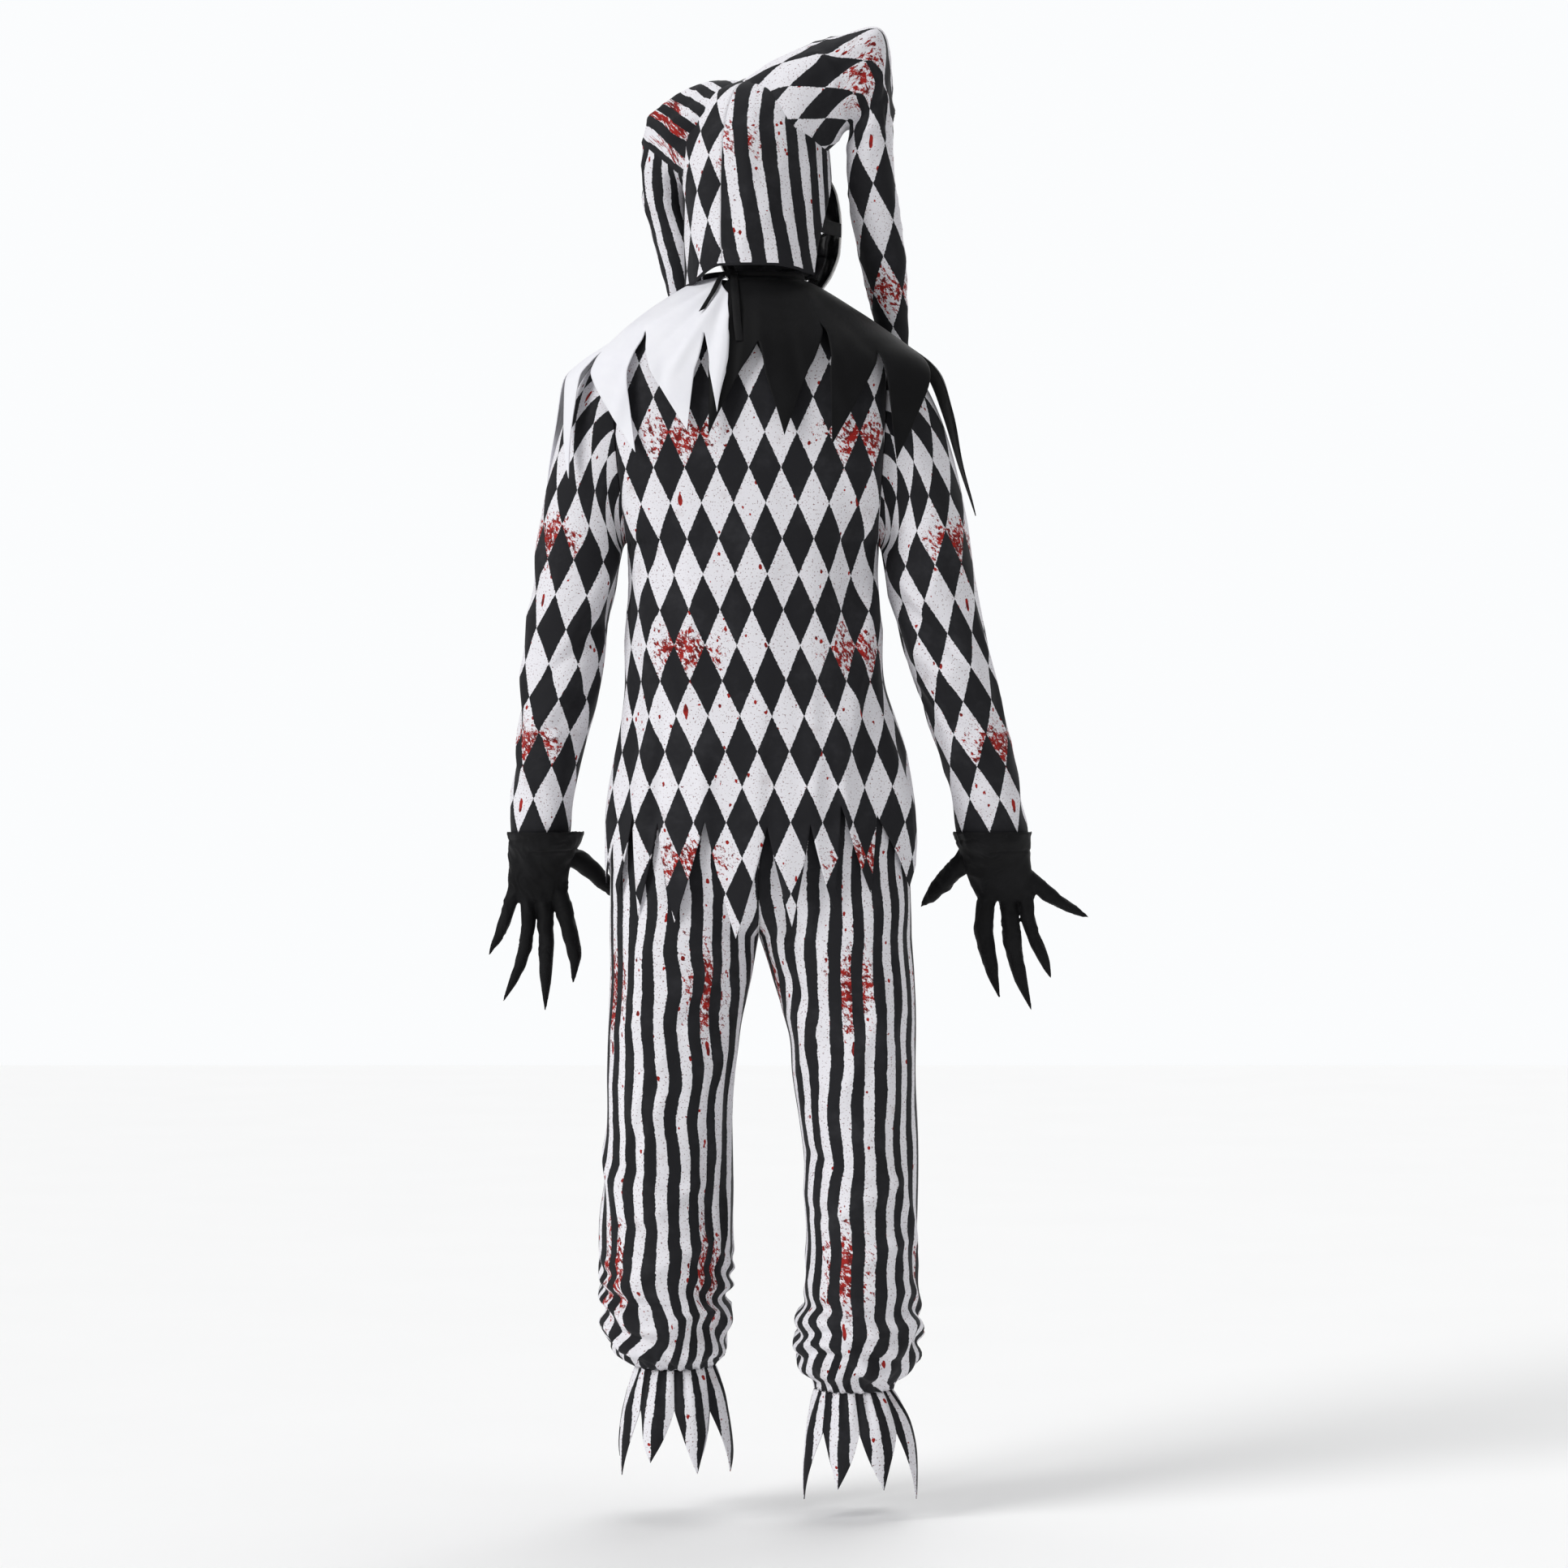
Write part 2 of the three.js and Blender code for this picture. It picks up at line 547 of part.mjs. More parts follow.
for (const [name, side, edge, lift] of [['white', -1, [10], OVERLAY], ['black', 1, [-22, -12, -2, 8], 0]]) {
  const half = wrappedCloth({
    place: (s, z) => collarPoint(side, s, z, lift),
    core: [side * 60, 0, -90],
    columns: [...edge, ...COLLAR_COLUMNS],
    rows: COLLAR_ROWS,
    outline: daggedOutline({
      top: COLLAR_TOP_Z,
      start: COLLAR_START[name],
      tongues: COLLAR_TONGUES[name],
      belly: 3,
    }),
  });
  piece(`collar_${name}`, half, name === 'white' ? whiteCloth : blackCloth);
}

// Neck binding: a flat black band on the top edge of the collar, open at the back between its two ends.
// Its angle runs from the middle of the back round the wearer's left.
const BINDING = { x: -7, a: 66, b: 57.5, low: 5.4, high: 13, start: 34, end: 382, thick: 1.8 };

function bindingPoint(u, v) {
  const turn = degToRad(mix(BINDING.start, BINDING.end, u));
  const z = mix(BINDING.high, BINDING.low, v);
  return [BINDING.x - BINDING.a * Math.sin(turn), -BINDING.b * Math.cos(turn), z];
}

piece(
  'neck_binding',
  clothWall({ core: [BINDING.x, 0, 9], across: 26, down: 1, thick: BINDING.thick, point: bindingPoint }),
  blackCloth,
);

// The knot and the two hanging ends of the binding.
const TIE = { wide: 10, thick: 2.2 };
const KNOT = { x: -37, y: -56.6, z: 9.5, wide: 8, deep: 3.8, high: 5 };
const TIES = {
  left: [
    { x: -46, y: -61.6, z: 9.2 },
    { x: -52, y: -74, z: -3 },
    { x: -58, y: -86, z: -17 },
    { x: -66, y: -95, z: -31.5 },
    { x: -72, y: -99, z: -42 },
  ],
  right: [
    { x: -32, y: -61.3, z: 8.8 },
    { x: -31, y: -82, z: -10 },
    { x: -29, y: -99, z: -31.5 },
    { x: -27, y: -113, z: -60 },
    { x: -24, y: -121, z: -84 },
  ],
};
const TIE_SIDEWAYS = { left: [1, 0.25, 0.5], right: [1, 0, 0.06] };

function ribbon(stations, sideways) {
  const path = new THREE.CatmullRomCurve3(stations.map((s) => new THREE.Vector3(s.x, s.y, s.z)));
  const wide = new THREE.Vector3(...sideways).normalize();
  const [steps, sides] = [8, 8];
  const rows = Array.from({ length: steps + 1 }, (_, j) => {
    const flat = path.getTangent(j / steps).cross(wide).normalize();
    return Array.from({ length: sides }, (_, i) => {
      const angle = ((i + 0.5) / sides) * 2 * Math.PI;
      const point = path.getPoint(j / steps).addScaledVector(wide, (TIE.wide / 2) * Math.cos(angle));
      return point.addScaledVector(flat, (TIE.thick / 2) * Math.sin(angle));
    });
  });
  return filled(rows);
}

for (const [name, stations] of Object.entries(TIES)) {
  piece(`tie_${name}`, ribbon(stations, TIE_SIDEWAYS[name]), blackCloth);
}
const knot = new THREE.SphereGeometry(1, 12, 8).scale(KNOT.wide, KNOT.deep, KNOT.high);
piece('tie_knot', knot.translate(KNOT.x, KNOT.y, KNOT.z), blackCloth);

// Trousers: four panels, left and right, front and back, gathered above the ankle. out and in are the
// side seam and inseam; deep is half the depth and y the middle of the leg.
const LEG_TABLES = {
  left: [
    { z: -845, out: 193.5, in: 0.5, y: -10, deep: 104 },
    { z: -892, out: 193, in: 11, y: -9, deep: 95 },
    { z: -943, out: 194, in: 24, y: -8, deep: 89 },
    { z: -993, out: 194.5, in: 29, y: -8, deep: 85 },
    { z: -1044, out: 196, in: 35, y: -8, deep: 81 },
    { z: -1094, out: 199.5, in: 38, y: -8, deep: 78 },
    { z: -1145, out: 201.6, in: 39, y: -8, deep: 76 },
    { z: -1195, out: 204, in: 38, y: -9, deep: 77 },
    { z: -1245, out: 205, in: 38, y: -11, deep: 79 },
    { z: -1296, out: 203, in: 42, y: -13, deep: 80 },
    { z: -1321, out: 200.5, in: 45, y: -14, deep: 79 },
    { z: -1346, out: 199, in: 38, y: -15, deep: 84 },
    { z: -1372, out: 195, in: 40, y: -14, deep: 82 },
    { z: -1389, out: 178, in: 50, y: -10, deep: 68 },
    { z: -1400, out: 160, in: 58, y: -7, deep: 54 },
  ],
  right: [
    { z: -845, out: 198, in: 0.5, y: -10, deep: 104 },
    { z: -892, out: 200.5, in: 17, y: -9, deep: 95 },
    { z: -943, out: 201.6, in: 33.6, y: -8, deep: 89 },
    { z: -993, out: 201.6, in: 41, y: -8, deep: 85 },
    { z: -1044, out: 202, in: 48, y: -8, deep: 81 },
    { z: -1094, out: 202.6, in: 53.5, y: -8, deep: 78 },
    { z: -1145, out: 202.8, in: 57.8, y: -8, deep: 75 },
    { z: -1195, out: 202.8, in: 58.8, y: -9, deep: 75 },
    { z: -1245, out: 201.8, in: 60.5, y: -11, deep: 77 },
    { z: -1296, out: 202.6, in: 58.8, y: -13, deep: 79 },
    { z: -1321, out: 202.8, in: 52.5, y: -14, deep: 81 },
    { z: -1346, out: 205.8, in: 48, y: -15, deep: 84 },
    { z: -1378, out: 206, in: 47, y: -15, deep: 84 },
    { z: -1404, out: 192, in: 55, y: -11, deep: 72 },
    { z: -1420, out: 177, in: 69, y: -8, deep: 57 },
    { z: -1430, out: 174, in: 73, y: -6, deep: 53 },
  ],
};
const LEG_ROWS = {
  left: [-892, -970, -1060, -1160, -1250, -1310, -1346, -1372, -1389, -1400],
  right: [-892, -970, -1060, -1160, -1250, -1318, -1350, -1382, -1408, -1430],
};
const legs = Object.fromEntries(Object.entries(LEG_TABLES).map(([side, rows]) => [side, curvesOf(rows)]));
const seat = curvesOf([
  { z: -450, left: 146, right: 146, back: 104, front: 100 },
  { z: -520, left: 157, right: 158, back: 108, front: 104 },
  { z: -600, left: 174, right: 177, back: 114, front: 107 },
  { z: -690, left: 192, right: 194, back: 124, front: 115.6 },
  { z: -760, left: 192, right: 194.5, back: 127, front: 116 },
  { z: -815, left: 192, right: 195, back: 127, front: 111 },
  { z: -845, left: 193.5, right: 198, back: 128, front: 110 },
]);
const SEAT_ROWS = [WAIST_Z, -530, -610, -690, -750, -805, CROTCH_Z];
const FORK_Z = -715; // where the seat seam starts to turn under

// Round a trouser panel: u is 0 at the middle seam or inseam and 1 at the side seam.
function legPoint(name, facing, u, z) {
  const side = name === 'left' ? -1 : 1;
  const leg = legs[name];
  const low = Math.min(z, CROTCH_Z);
  const turn = u * Math.PI;
  const centre = (leg.out(low) + leg.in(low)) / 2;
  const wide = (leg.out(low) - leg.in(low)) / 2;
  const ovalX = centre - wide * Math.cos(turn);
  const ovalY = leg.y(low) * Math.sin(turn) + facing * leg.deep(low) * Math.sin(turn) ** 0.85;
  const sunk = clamp((FORK_Z - z) / (FORK_Z - CROTCH_Z), 0, 1);
  const fork = 1 - Math.sqrt(1 - sunk ** 2);
  const quarter = u * (Math.PI / 2);
  const depth = facing < 0 ? seat.back(z) : seat.front(z);
  const seatX = seat[name](z) * Math.sin(quarter);
  const seatY = facing * depth * Math.cos(quarter) ** 0.87;
  return [side * (mix(seatX, ovalX, fork) + SEAM / 2), mix(seatY, ovalY, fork) + facing * (SEAM / 2), z];
}

// The middle seam lies across x above the crotch, and the inseam across y below it.
function innerSeamAxes(z) {
  if (z > CROTCH_Z) return 'x';
  return z < CROTCH_Z ? 'y' : 'xy';
}

for (const name of ['left', 'right']) {
  const rows = [...SEAT_ROWS, ...LEG_ROWS[name]];
  for (const [word, facing] of [['back', -1], ['front', 1]]) {
    const wall = clothWall({
      core: [name === 'left' ? -100 : 100, 0, -1000],
      across: 8,
      down: rows.length - 1,
      square: { first: (j) => innerSeamAxes(rows[j]), last: () => 'y' },
      point: (u, v) => legPoint(name, facing, u, rows[Math.round(v * (rows.length - 1))]),
    });
    piece(`trousers_${name}_${word}`, wall, striped);
  }
}

// Waistband: an elastic casing round the top of the trousers, hidden by the tunic.
const WAISTBAND = { a: 146, b: 102, top: -420, thick: 3 };
piece(
  'waistband',
  clothWall({
    core: [0, 0, -435],
    across: 28,
    down: 1,
    ring: true,
    thick: WAISTBAND.thick,
    point: (u, v) => {
      const turn = u * 2 * Math.PI;
      return [WAISTBAND.a * Math.cos(turn), WAISTBAND.b * Math.sin(turn), mix(WAISTBAND.top, WAIST_Z + SEAM, v)];
    },
  }),
  striped,
);

// Ankle frills: below each gather the cloth flares over the shoe and ends in long points.
const FRILLS = {
  left: { x: -109, top: -1400, rx: 50.5, flare: 74, shift: 1, dags: 8 },
  right: { x: 123.5, top: -1430, rx: 50.5, flare: 76, shift: 8, dags: 8 },
};
const FRILL_CUT = 52; // length of a frill above its cuts
const FRILL_DAG = 78; // length of a dag below its cut
const FRILL_DROP = 130; // length over which it flares out
const FRILL_FLUTE = 3.2; // how deep its flutes are
const FRILL_DEPTH = { gather: 52, hem: 80 }; // half its size front to back
const FRILL_MIDDLE = { gather: -6, hem: 12 }; // its middle front to back

// A saw-tooth from 0 at a cut to 1 at a point, with a point at the middle of each of count teeth.
const saw = (u, count) => 1 - Math.abs(((u * count) % 1) * 2 - 1);

function frillPoint(frill, u, v) {
  const turn = u * 2 * Math.PI;
  const dag = FRILL_DAG * (1 + 0.16 * Math.sin(u * 31 + frill.shift)) * saw(u, frill.dags);
  const down = v * (FRILL_CUT + dag);
  const open = 1 - (1 - Math.min(down / FRILL_DROP, 1)) ** 2.4;
  const flute = FRILL_FLUTE * Math.cos(u * frill.dags * 2 * Math.PI) * smoothstep(down, 0, 45);
  const rx = mix(frill.rx, frill.flare, open) - flute;
  const ry = mix(FRILL_DEPTH.gather, FRILL_DEPTH.hem, open) - flute;
  const x = frill.x + frill.shift * open + rx * Math.sin(turn);
  const y = mix(FRILL_MIDDLE.gather, FRILL_MIDDLE.hem, open) - ry * Math.cos(turn);
  return [x, y, frill.top - SEAM - down];
}

for (const [name, frill] of Object.entries(FRILLS)) {
  const wall = clothWall({
    core: [frill.x, 0, frill.top - 60],
    across: frill.dags * 4,
    down: 3,
    ring: true,
    point: (u, v) => frillPoint(frill, u, v),
  });
  piece(`ankle_frill_${name}`, wall, striped);
}

// Hood: harlequin on the wearer's left half and striped on the right, with a horn of the other cloth on
// each. It is made facing +Y and then turned with the head. side is half the width of a level ring.
const hood = curvesOf([
  { z: 268, side: 2, back: 2, front: 2 },
  { z: 263, side: 30, back: 36, front: 34 },
  { z: 246, side: 60, back: 72, front: 66 },
  { z: 215, side: 80, back: 96, front: 88 },
  { z: 170, side: 90, back: 110, front: 101 },
  { z: 120, side: 93, back: 114, front: 106 },
  { z: 60, side: 94, back: 111, front: 104 },
  { z: 16, side: 95, back: 106, front: 100 },
  { z: -10, side: 96, back: 104, front: 98 },
]);
// How far round from the middle of the back the cloth reaches, in degrees, before the face opening.
const faceEdge = curveOf(
  [
    { z: 200, reach: 180 },
    { z: 176, reach: 150 },
    { z: 150, reach: 122 },
    { z: 110, reach: 100 },
    { z: 70, reach: 86 },
    { z: -10, reach: 70 },
  ],
  'reach',
);
const HOOD_ROWS = [HOOD_CROWN_Z, 263, 252, 234, 210, 185, 160, 130, 95, 60, 30];
const CROWN_START_Z = 170; // where the hood's cloth starts to close over the head
const HOOD_ACROSS = 10;
const FACE_ACROSS = 6;
const hoodHem = {
  left: (u) => mix(HOOD_HEM_Z, -4, smoothstep(u, 0.25, 1)),
  right: (u) => mix(HOOD_HEM_Z, 8, smoothstep(u, 0.5, 1)),
};
const headTurn = new THREE.Matrix4()
  .makeTranslation(HEAD.x, HEAD.y, 0)
  .multiply(new THREE.Matrix4().makeRotationZ(degToRad(HEAD.yaw)));

function hoodPoint(side, angle, z, grow = 0) {
  const turn = degToRad(angle);
  const depth = Math.cos(turn) > 0 ? hood.back(z) : hood.front(z);
  return [side * (SEAM / 2 + (hood.side(z) + grow) * Math.sin(turn)), -(depth + grow) * Math.cos(turn), z];
}

function hoodHalf(name) {
  const side = name === 'left' ? -1 : 1;
  const backAxes = () => 'x';
  const frontAxes = (j) => (faceEdge(HOOD_ROWS[j] ?? 0) === 180 ? 'x' : '');
  const wall = clothWall({
    core: [0, 0, 110],
    across: HOOD_ACROSS,
    down: HOOD_ROWS.length,
    square: side < 0 ? { first: frontAxes, last: backAxes } : { first: backAxes, last: frontAxes },
    point: (u, v) => {
      const share = side < 0 ? 1 - u : u;
      const row = Math.round(v * HOOD_ROWS.length);
      const z = row < HOOD_ROWS.length ? HOOD_ROWS[row] : hoodHem[name](share);
      return hoodPoint(side, share * faceEdge(z), z);
    },
  });
  return wall.applyMatrix4(headTurn);
}

// The space under the hood as one filled solid, with its corners behind the hood's own, for trimming what
// is sewn on to it.
function hoodVolume(grow) {
  const ring = (z, shrink = 1) => {
    const reach = faceEdge(z);
    const sides = evenly(0, reach, HOOD_ACROSS);
    const face = evenly(reach, 360 - reach, FACE_ACROSS).slice(1, -1);
    const angles = [...sides, ...face, ...sides.map((angle) => 360 - angle).reverse().slice(0, -1)];
    return angles.map((angle) => {
      const [x, y] = angle > 180 ? hoodPoint(-1, 360 - angle, z, grow) : hoodPoint(1, angle, z, grow);
      const rise = grow * smoothstep(z, CROWN_START_Z, HOOD_CROWN_Z);
      return new THREE.Vector3(x * shrink, y * shrink, z + rise).applyMatrix4(headTurn);
    });
  };
  const lid = ring(HOOD_ROWS[1], 0.1).map((p) => p.setZ(HOOD_CROWN_Z + grow));
  return filled([lid, ...HOOD_ROWS.slice(1).map((z) => ring(z)), ring(HOOD_HEM_Z - 20)]);
}

// Horns: a row for each section, from the sewn base to the tip. x, z and y are the middle, wide and deep
// the half sizes, and lean the turn of the wide way from level, in degrees.
const HORN_TABLES = {
  left: [
    { x: -38, z: 196, y: 18, wide: 70, deep: 60, lean: 76 },
    { x: -70, z: 196, y: 20, wide: 75, deep: 64, lean: 79 },
    { x: -92, z: 194.4, y: 26, wide: 66.4, deep: 60, lean: 89 },
    { x: -107, z: 188, y: 34, wide: 58, deep: 54, lean: 102 },
    { x: -120.3, z: 176.5, y: 42, wide: 50.2, deep: 48, lean: 119 },
    { x: -125.3, z: 159, y: 51, wide: 39.4, deep: 43, lean: 137 },
    { x: -125.8, z: 141.3, y: 57, wide: 31.4, deep: 39, lean: 159 },
    { x: -124, z: 108, y: 64, wide: 30, deep: 34, lean: 172 },
    { x: -111.5, z: 66, y: 71, wide: 29.5, deep: 30, lean: 176 },
    { x: -99, z: 22, y: 82, wide: 27, deep: 25, lean: 178 },
    { x: -92, z: -22, y: 103, wide: 21, deep: 18, lean: 178 },
    { x: -88, z: -68, y: 122, wide: 13, deep: 9, lean: 178 },
    { x: -87, z: -104, y: 129, wide: 3, deep: 2.2, lean: 178 },
  ],
  right: [
    { x: 5, z: 203, y: -4, wide: 66, deep: 60, lean: 122 },
    { x: 42, z: 226, y: -2, wide: 71, deep: 66, lean: 106 },
    { x: 70, z: 240, y: 0, wide: 72, deep: 66, lean: 97 },
    { x: 100, z: 254, y: 2, wide: 69, deep: 64, lean: 89 },
    { x: 127, z: 262, y: 5, wide: 63, deep: 60, lean: 76 },
    { x: 142, z: 250, y: 8, wide: 53, deep: 55, lean: 62 },
    { x: 145, z: 219, y: 12, wide: 42, deep: 50, lean: 44 },
    { x: 145, z: 182, y: 18, wide: 33, deep: 46, lean: 18 },
    { x: 147, z: 142, y: 25, wide: 31.5, deep: 42, lean: 5 },
    { x: 153, z: 94, y: 33, wide: 32, deep: 38, lean: 2 },
    { x: 163, z: 32, y: 45, wide: 30, deep: 32, lean: 2 },
    { x: 171, z: -21, y: 62, wide: 24, deep: 25, lean: 3 },
    { x: 180, z: -76, y: 84, wide: 17, deep: 16, lean: 4 },
    { x: 186, z: -124, y: 103, wide: 8, deep: 7, lean: 5 },
    { x: 188, z: -142, y: 109, wide: 2.5, deep: 2, lean: 5 },
  ],
};
const HORN_SIDES = 12;

// A horn as a filled solid or, shrunk, the space inside it, which ends one row before the tip.
function hornSolid(name, shrink = 0) {
  const stations = shrink > 0 ? HORN_TABLES[name].slice(0, -1) : HORN_TABLES[name];
  const rows = stations.map((row) =>
    Array.from({ length: HORN_SIDES }, (_, i) => {
      const turn = (i / HORN_SIDES) * 2 * Math.PI;
      const lean = degToRad(row.lean);
      const wide = (row.wide - shrink) * Math.cos(turn);
      const deep = (row.deep - shrink) * Math.sin(turn);
      return new THREE.Vector3(row.x + wide * Math.cos(lean), row.y + deep, row.z + wide * Math.sin(lean));
    }),
  );
  return filled(rows);
}

const HOOD_CLEARANCE = 0.6; // from the hood's outer corners to a horn's sewn edge
const hoodSpace = hoodVolume(HOOD_CLEARANCE);
const hornSpace = { left: hornSolid('left', CLOTH), right: hornSolid('right', CLOTH) };
for (const name of ['left', 'right']) {
  const hornCloth = name === 'left' ? striped : harlequin;
  const hoodCloth = name === 'left' ? harlequin : striped;
  piece(`horn_${name}`, cut(hornSolid(name), hornSpace[name], hoodSpace), hornCloth);
  piece(`hood_${name}`, cut(hoodHalf(name), hornSpace.left, hornSpace.right), hoodCloth);
}

// Mask: a hard face shell inside the face opening, held by an elastic strap round the back of the head.
// wide is half its width, front how far its middle stands out, and rim where its edge lies.
const mask = curvesOf([
  { z: 165, wide: 42, front: 84, rim: 80 },
  { z: 150, wide: 66, front: 100, rim: 70 },
  { z: 120, wide: 84, front: 108, rim: 62 },
  { z: 84, wide: 90, front: 110, rim: 60 },
  { z: 50, wide: 88, front: 110, rim: 60 },
  { z: 20, wide: 76, front: 108, rim: 62 },
  { z: 0, wide: 58, front: 106, rim: 68 },
  { z: -18, wide: 36, front: 100, rim: 78 },
  { z: -25, wide: 24, front: 92, rim: 82 },
]);
const MASK_THICK = 2;
const MASK_ROWS = [165, 148, 124, 104, 84, 66, 50, 38, 18, -4, -25];
const EYES = { apart: 33, z: 84, wide: 19, high: 9 };
const MOUTH = { z: 17, wide: 27, high: 3.5 };

// Brows, eye sockets, cheeks and chin: how far each stands out, where it is and how far it spreads.
const RELIEF = [
  { out: 5, x: 32, wide: 26, z: 106, high: 16 },
  { out: -5, x: 33, wide: 20, z: 84, high: 14 },
  { out: 6, x: 50, wide: 20, z: 48, high: 24 },
  { out: 5, x: 0, wide: 22, z: -8, high: 12 },
];
const NOSE = { out: 24, wide: 11, top: 96, tip: 48, under: 36 };

function faceRelief(x, z) {
  const ridge = smoothstep(-z, -NOSE.top, -NOSE.tip) * (1 - smoothstep(-z, -NOSE.tip, -NOSE.under));
  const nose = NOSE.out * bump(x, 0, NOSE.wide) * ridge;
  return RELIEF.reduce((sum, part) => {
    return sum + part.out * bump(z, part.z, part.high) * bump(Math.abs(x), part.x, part.wide);
  }, nose);
}

// The shell reaches as far round as MASK_REACH either side of the nose, in degrees.
const MASK_REACH = 84;
function maskPoint(u, z) {
  const turn = degToRad(mix(-MASK_REACH, MASK_REACH, u));
  const edge = degToRad(MASK_REACH);
  const x = (mask.wide(z) * Math.sin(turn)) / Math.sin(edge);
  const plain = mix(mask.rim(z), mask.front(z), (Math.cos(turn) - Math.cos(edge)) ** 0.9);
  return [x, plain + faceRelief(x, z), z];
}

// An oval hole through the face, pushed through from front to back.
function ovalHole({ x, z, wide, high }) {
  const oval = new THREE.Shape().absellipse(x, z, wide, high, 0, 2 * Math.PI);
  const rod = new THREE.ExtrudeGeometry(oval, { depth: 120, bevelEnabled: false, curveSegments: 6 });
  return rod.rotateX(Math.PI / 2).translate(0, 170, 0);
}

const shell = clothWall({
  core: [0, 40, 70],
  thick: MASK_THICK,
  across: 12,
  down: MASK_ROWS.length - 1,
  point: (u, v) => maskPoint(u, MASK_ROWS[Math.round(v * (MASK_ROWS.length - 1))]),
});
const holes = [
  ovalHole({ x: -EYES.apart, ...EYES }),
  ovalHole({ x: EYES.apart, ...EYES }),
  ovalHole({ x: 0, ...MOUTH }),
];
piece('mask', cut(shell, ...holes).applyMatrix4(headTurn), maskShell);

// The strap runs straight back from each side of the mask and then round the head.
const STRAP = { half: 90.8, straight: 59.3, back: 109.2, low: 66, high: 84, thick: 1.2, sideShare: 0.2 };

function strapPoint(u, v) {
  const z = mix(STRAP.high, STRAP.low, v);
  const near = Math.min(u, 1 - u) / STRAP.sideShare;
  const side = u < 0.5 ? -1 : 1;
  if (near < 1) return [side * STRAP.half, STRAP.straight * (1 - near), z];
  const turn = Math.PI * ((u - STRAP.sideShare) / (1 - 2 * STRAP.sideShare));
  return [-STRAP.half * Math.cos(turn), -STRAP.back * Math.sin(turn), z];
}

const strap = clothWall({ core: [0, 0, 75], thick: STRAP.thick, across: 20, down: 1, point: strapPoint });
piece('mask_strap', strap.applyMatrix4(headTurn), blackCloth);

// Gloves: a cuff over each sleeve end, a palm, and five long pointed fingers.
const GLOVES = {
  left: {
    palm: [
      { z: -707, x: -278, y: 40, wide: 49.5, deep: 48 },
      { z: -724, x: -281, y: 41, wide: 47, deep: 46 },
      { z: -745, x: -286, y: 44, wide: 42, deep: 29 },
      { z: -768, x: -289.5, y: 50, wide: 40, deep: 19 },
      { z: -790, x: -290, y: 54, wide: 39, deep: 14 },
      { z: -800, x: -290, y: 55, wide: 34, deep: 9 },
    ],
    fingers: [
      [
        { x: -318, z: -776, y: 53, r: 9.5 },
        { x: -326.5, z: -803, y: 54, r: 9 },
        { x: -338, z: -838, y: 56, r: 7.5 },
        { x: -355, z: -872, y: 58, r: 1.2 },
      ],
      [
        { x: -304.5, z: -784, y: 54, r: 10 },
        { x: -303.5, z: -829.5, y: 57, r: 9.3 },
        { x: -310, z: -871.5, y: 59, r: 8.3 },
        { x: -322, z: -903, y: 60, r: 6 },
        { x: -336, z: -932, y: 61, r: 1.2 },
      ],
      [
        { x: -283.5, z: -787.5, y: 55, r: 10.5 },
        { x: -280, z: -840, y: 58, r: 10.5 },
        { x: -280, z: -892.5, y: 61, r: 8.5 },
        { x: -281, z: -945, y: 63, r: 1.2 },
      ],
      [
        { x: -265, z: -779, y: 54, r: 11.5 },
        { x: -252, z: -829.5, y: 58, r: 11.5 },
        { x: -242.5, z: -871.5, y: 61, r: 8.5 },
        { x: -244.6, z: -909, y: 62, r: 1.2 },
      ],
      [
        { x: -262, z: -737, y: 52, r: 13 },
        { x: -231, z: -751, y: 62, r: 13.5 },
        { x: -205, z: -775, y: 72, r: 10.5 },
        { x: -173, z: -810, y: 82, r: 1.2 },
      ],
    ],
  },
  right: {
    palm: [
      { z: -707, x: 304.5, y: 40, wide: 51, deep: 46.5 },
      { z: -724, x: 306, y: 41, wide: 48.5, deep: 44.5 },
      { z: -745, x: 311, y: 44, wide: 44, deep: 29 },
      { z: -768, x: 316, y: 50, wide: 43, deep: 20 },
      { z: -790, x: 322, y: 54, wide: 40, deep: 15 },
      { z: -800, x: 323, y: 55, wide: 35, deep: 10 },
    ],
    fingers: [
      [
        { x: 352, z: -768, y: 53, r: 10.5 },
        { x: 381, z: -793, y: 56, r: 9.5 },
        { x: 406, z: -808.5, y: 58, r: 7 },
        { x: 432.6, z: -822, y: 60, r: 1.2 },
      ],
      [
        { x: 347.6, z: -787, y: 54, r: 10 },
        { x: 356, z: -836, y: 58, r: 9 },
        { x: 371.7, z: -872.5, y: 60, r: 7.5 },
        { x: 383, z: -902, y: 61, r: 1.2 },
      ],
      [
        { x: 325.5, z: -787.5, y: 55, r: 12 },
        { x: 331, z: -845, y: 58, r: 12 },
        { x: 340.6, z: -893.5, y: 61, r: 9.5 },
        { x: 357.4, z: -944, y: 63, r: 1.2 },
      ],
      [
        { x: 300, z: -781, y: 54, r: 12.5 },
        { x: 295, z: -836, y: 58, r: 12.5 },
        { x: 303.5, z: -884, y: 61, r: 9.5 },
        { x: 315.5, z: -928, y: 62, r: 1.2 },
      ],
      [
        { x: 276, z: -739, y: 52, r: 14 },
        { x: 249, z: -768, y: 62, r: 13 },
        { x: 230, z: -790, y: 72, r: 10 },
        { x: 212, z: -810, y: 82, r: 1.2 },
      ],
    ],
  },
};

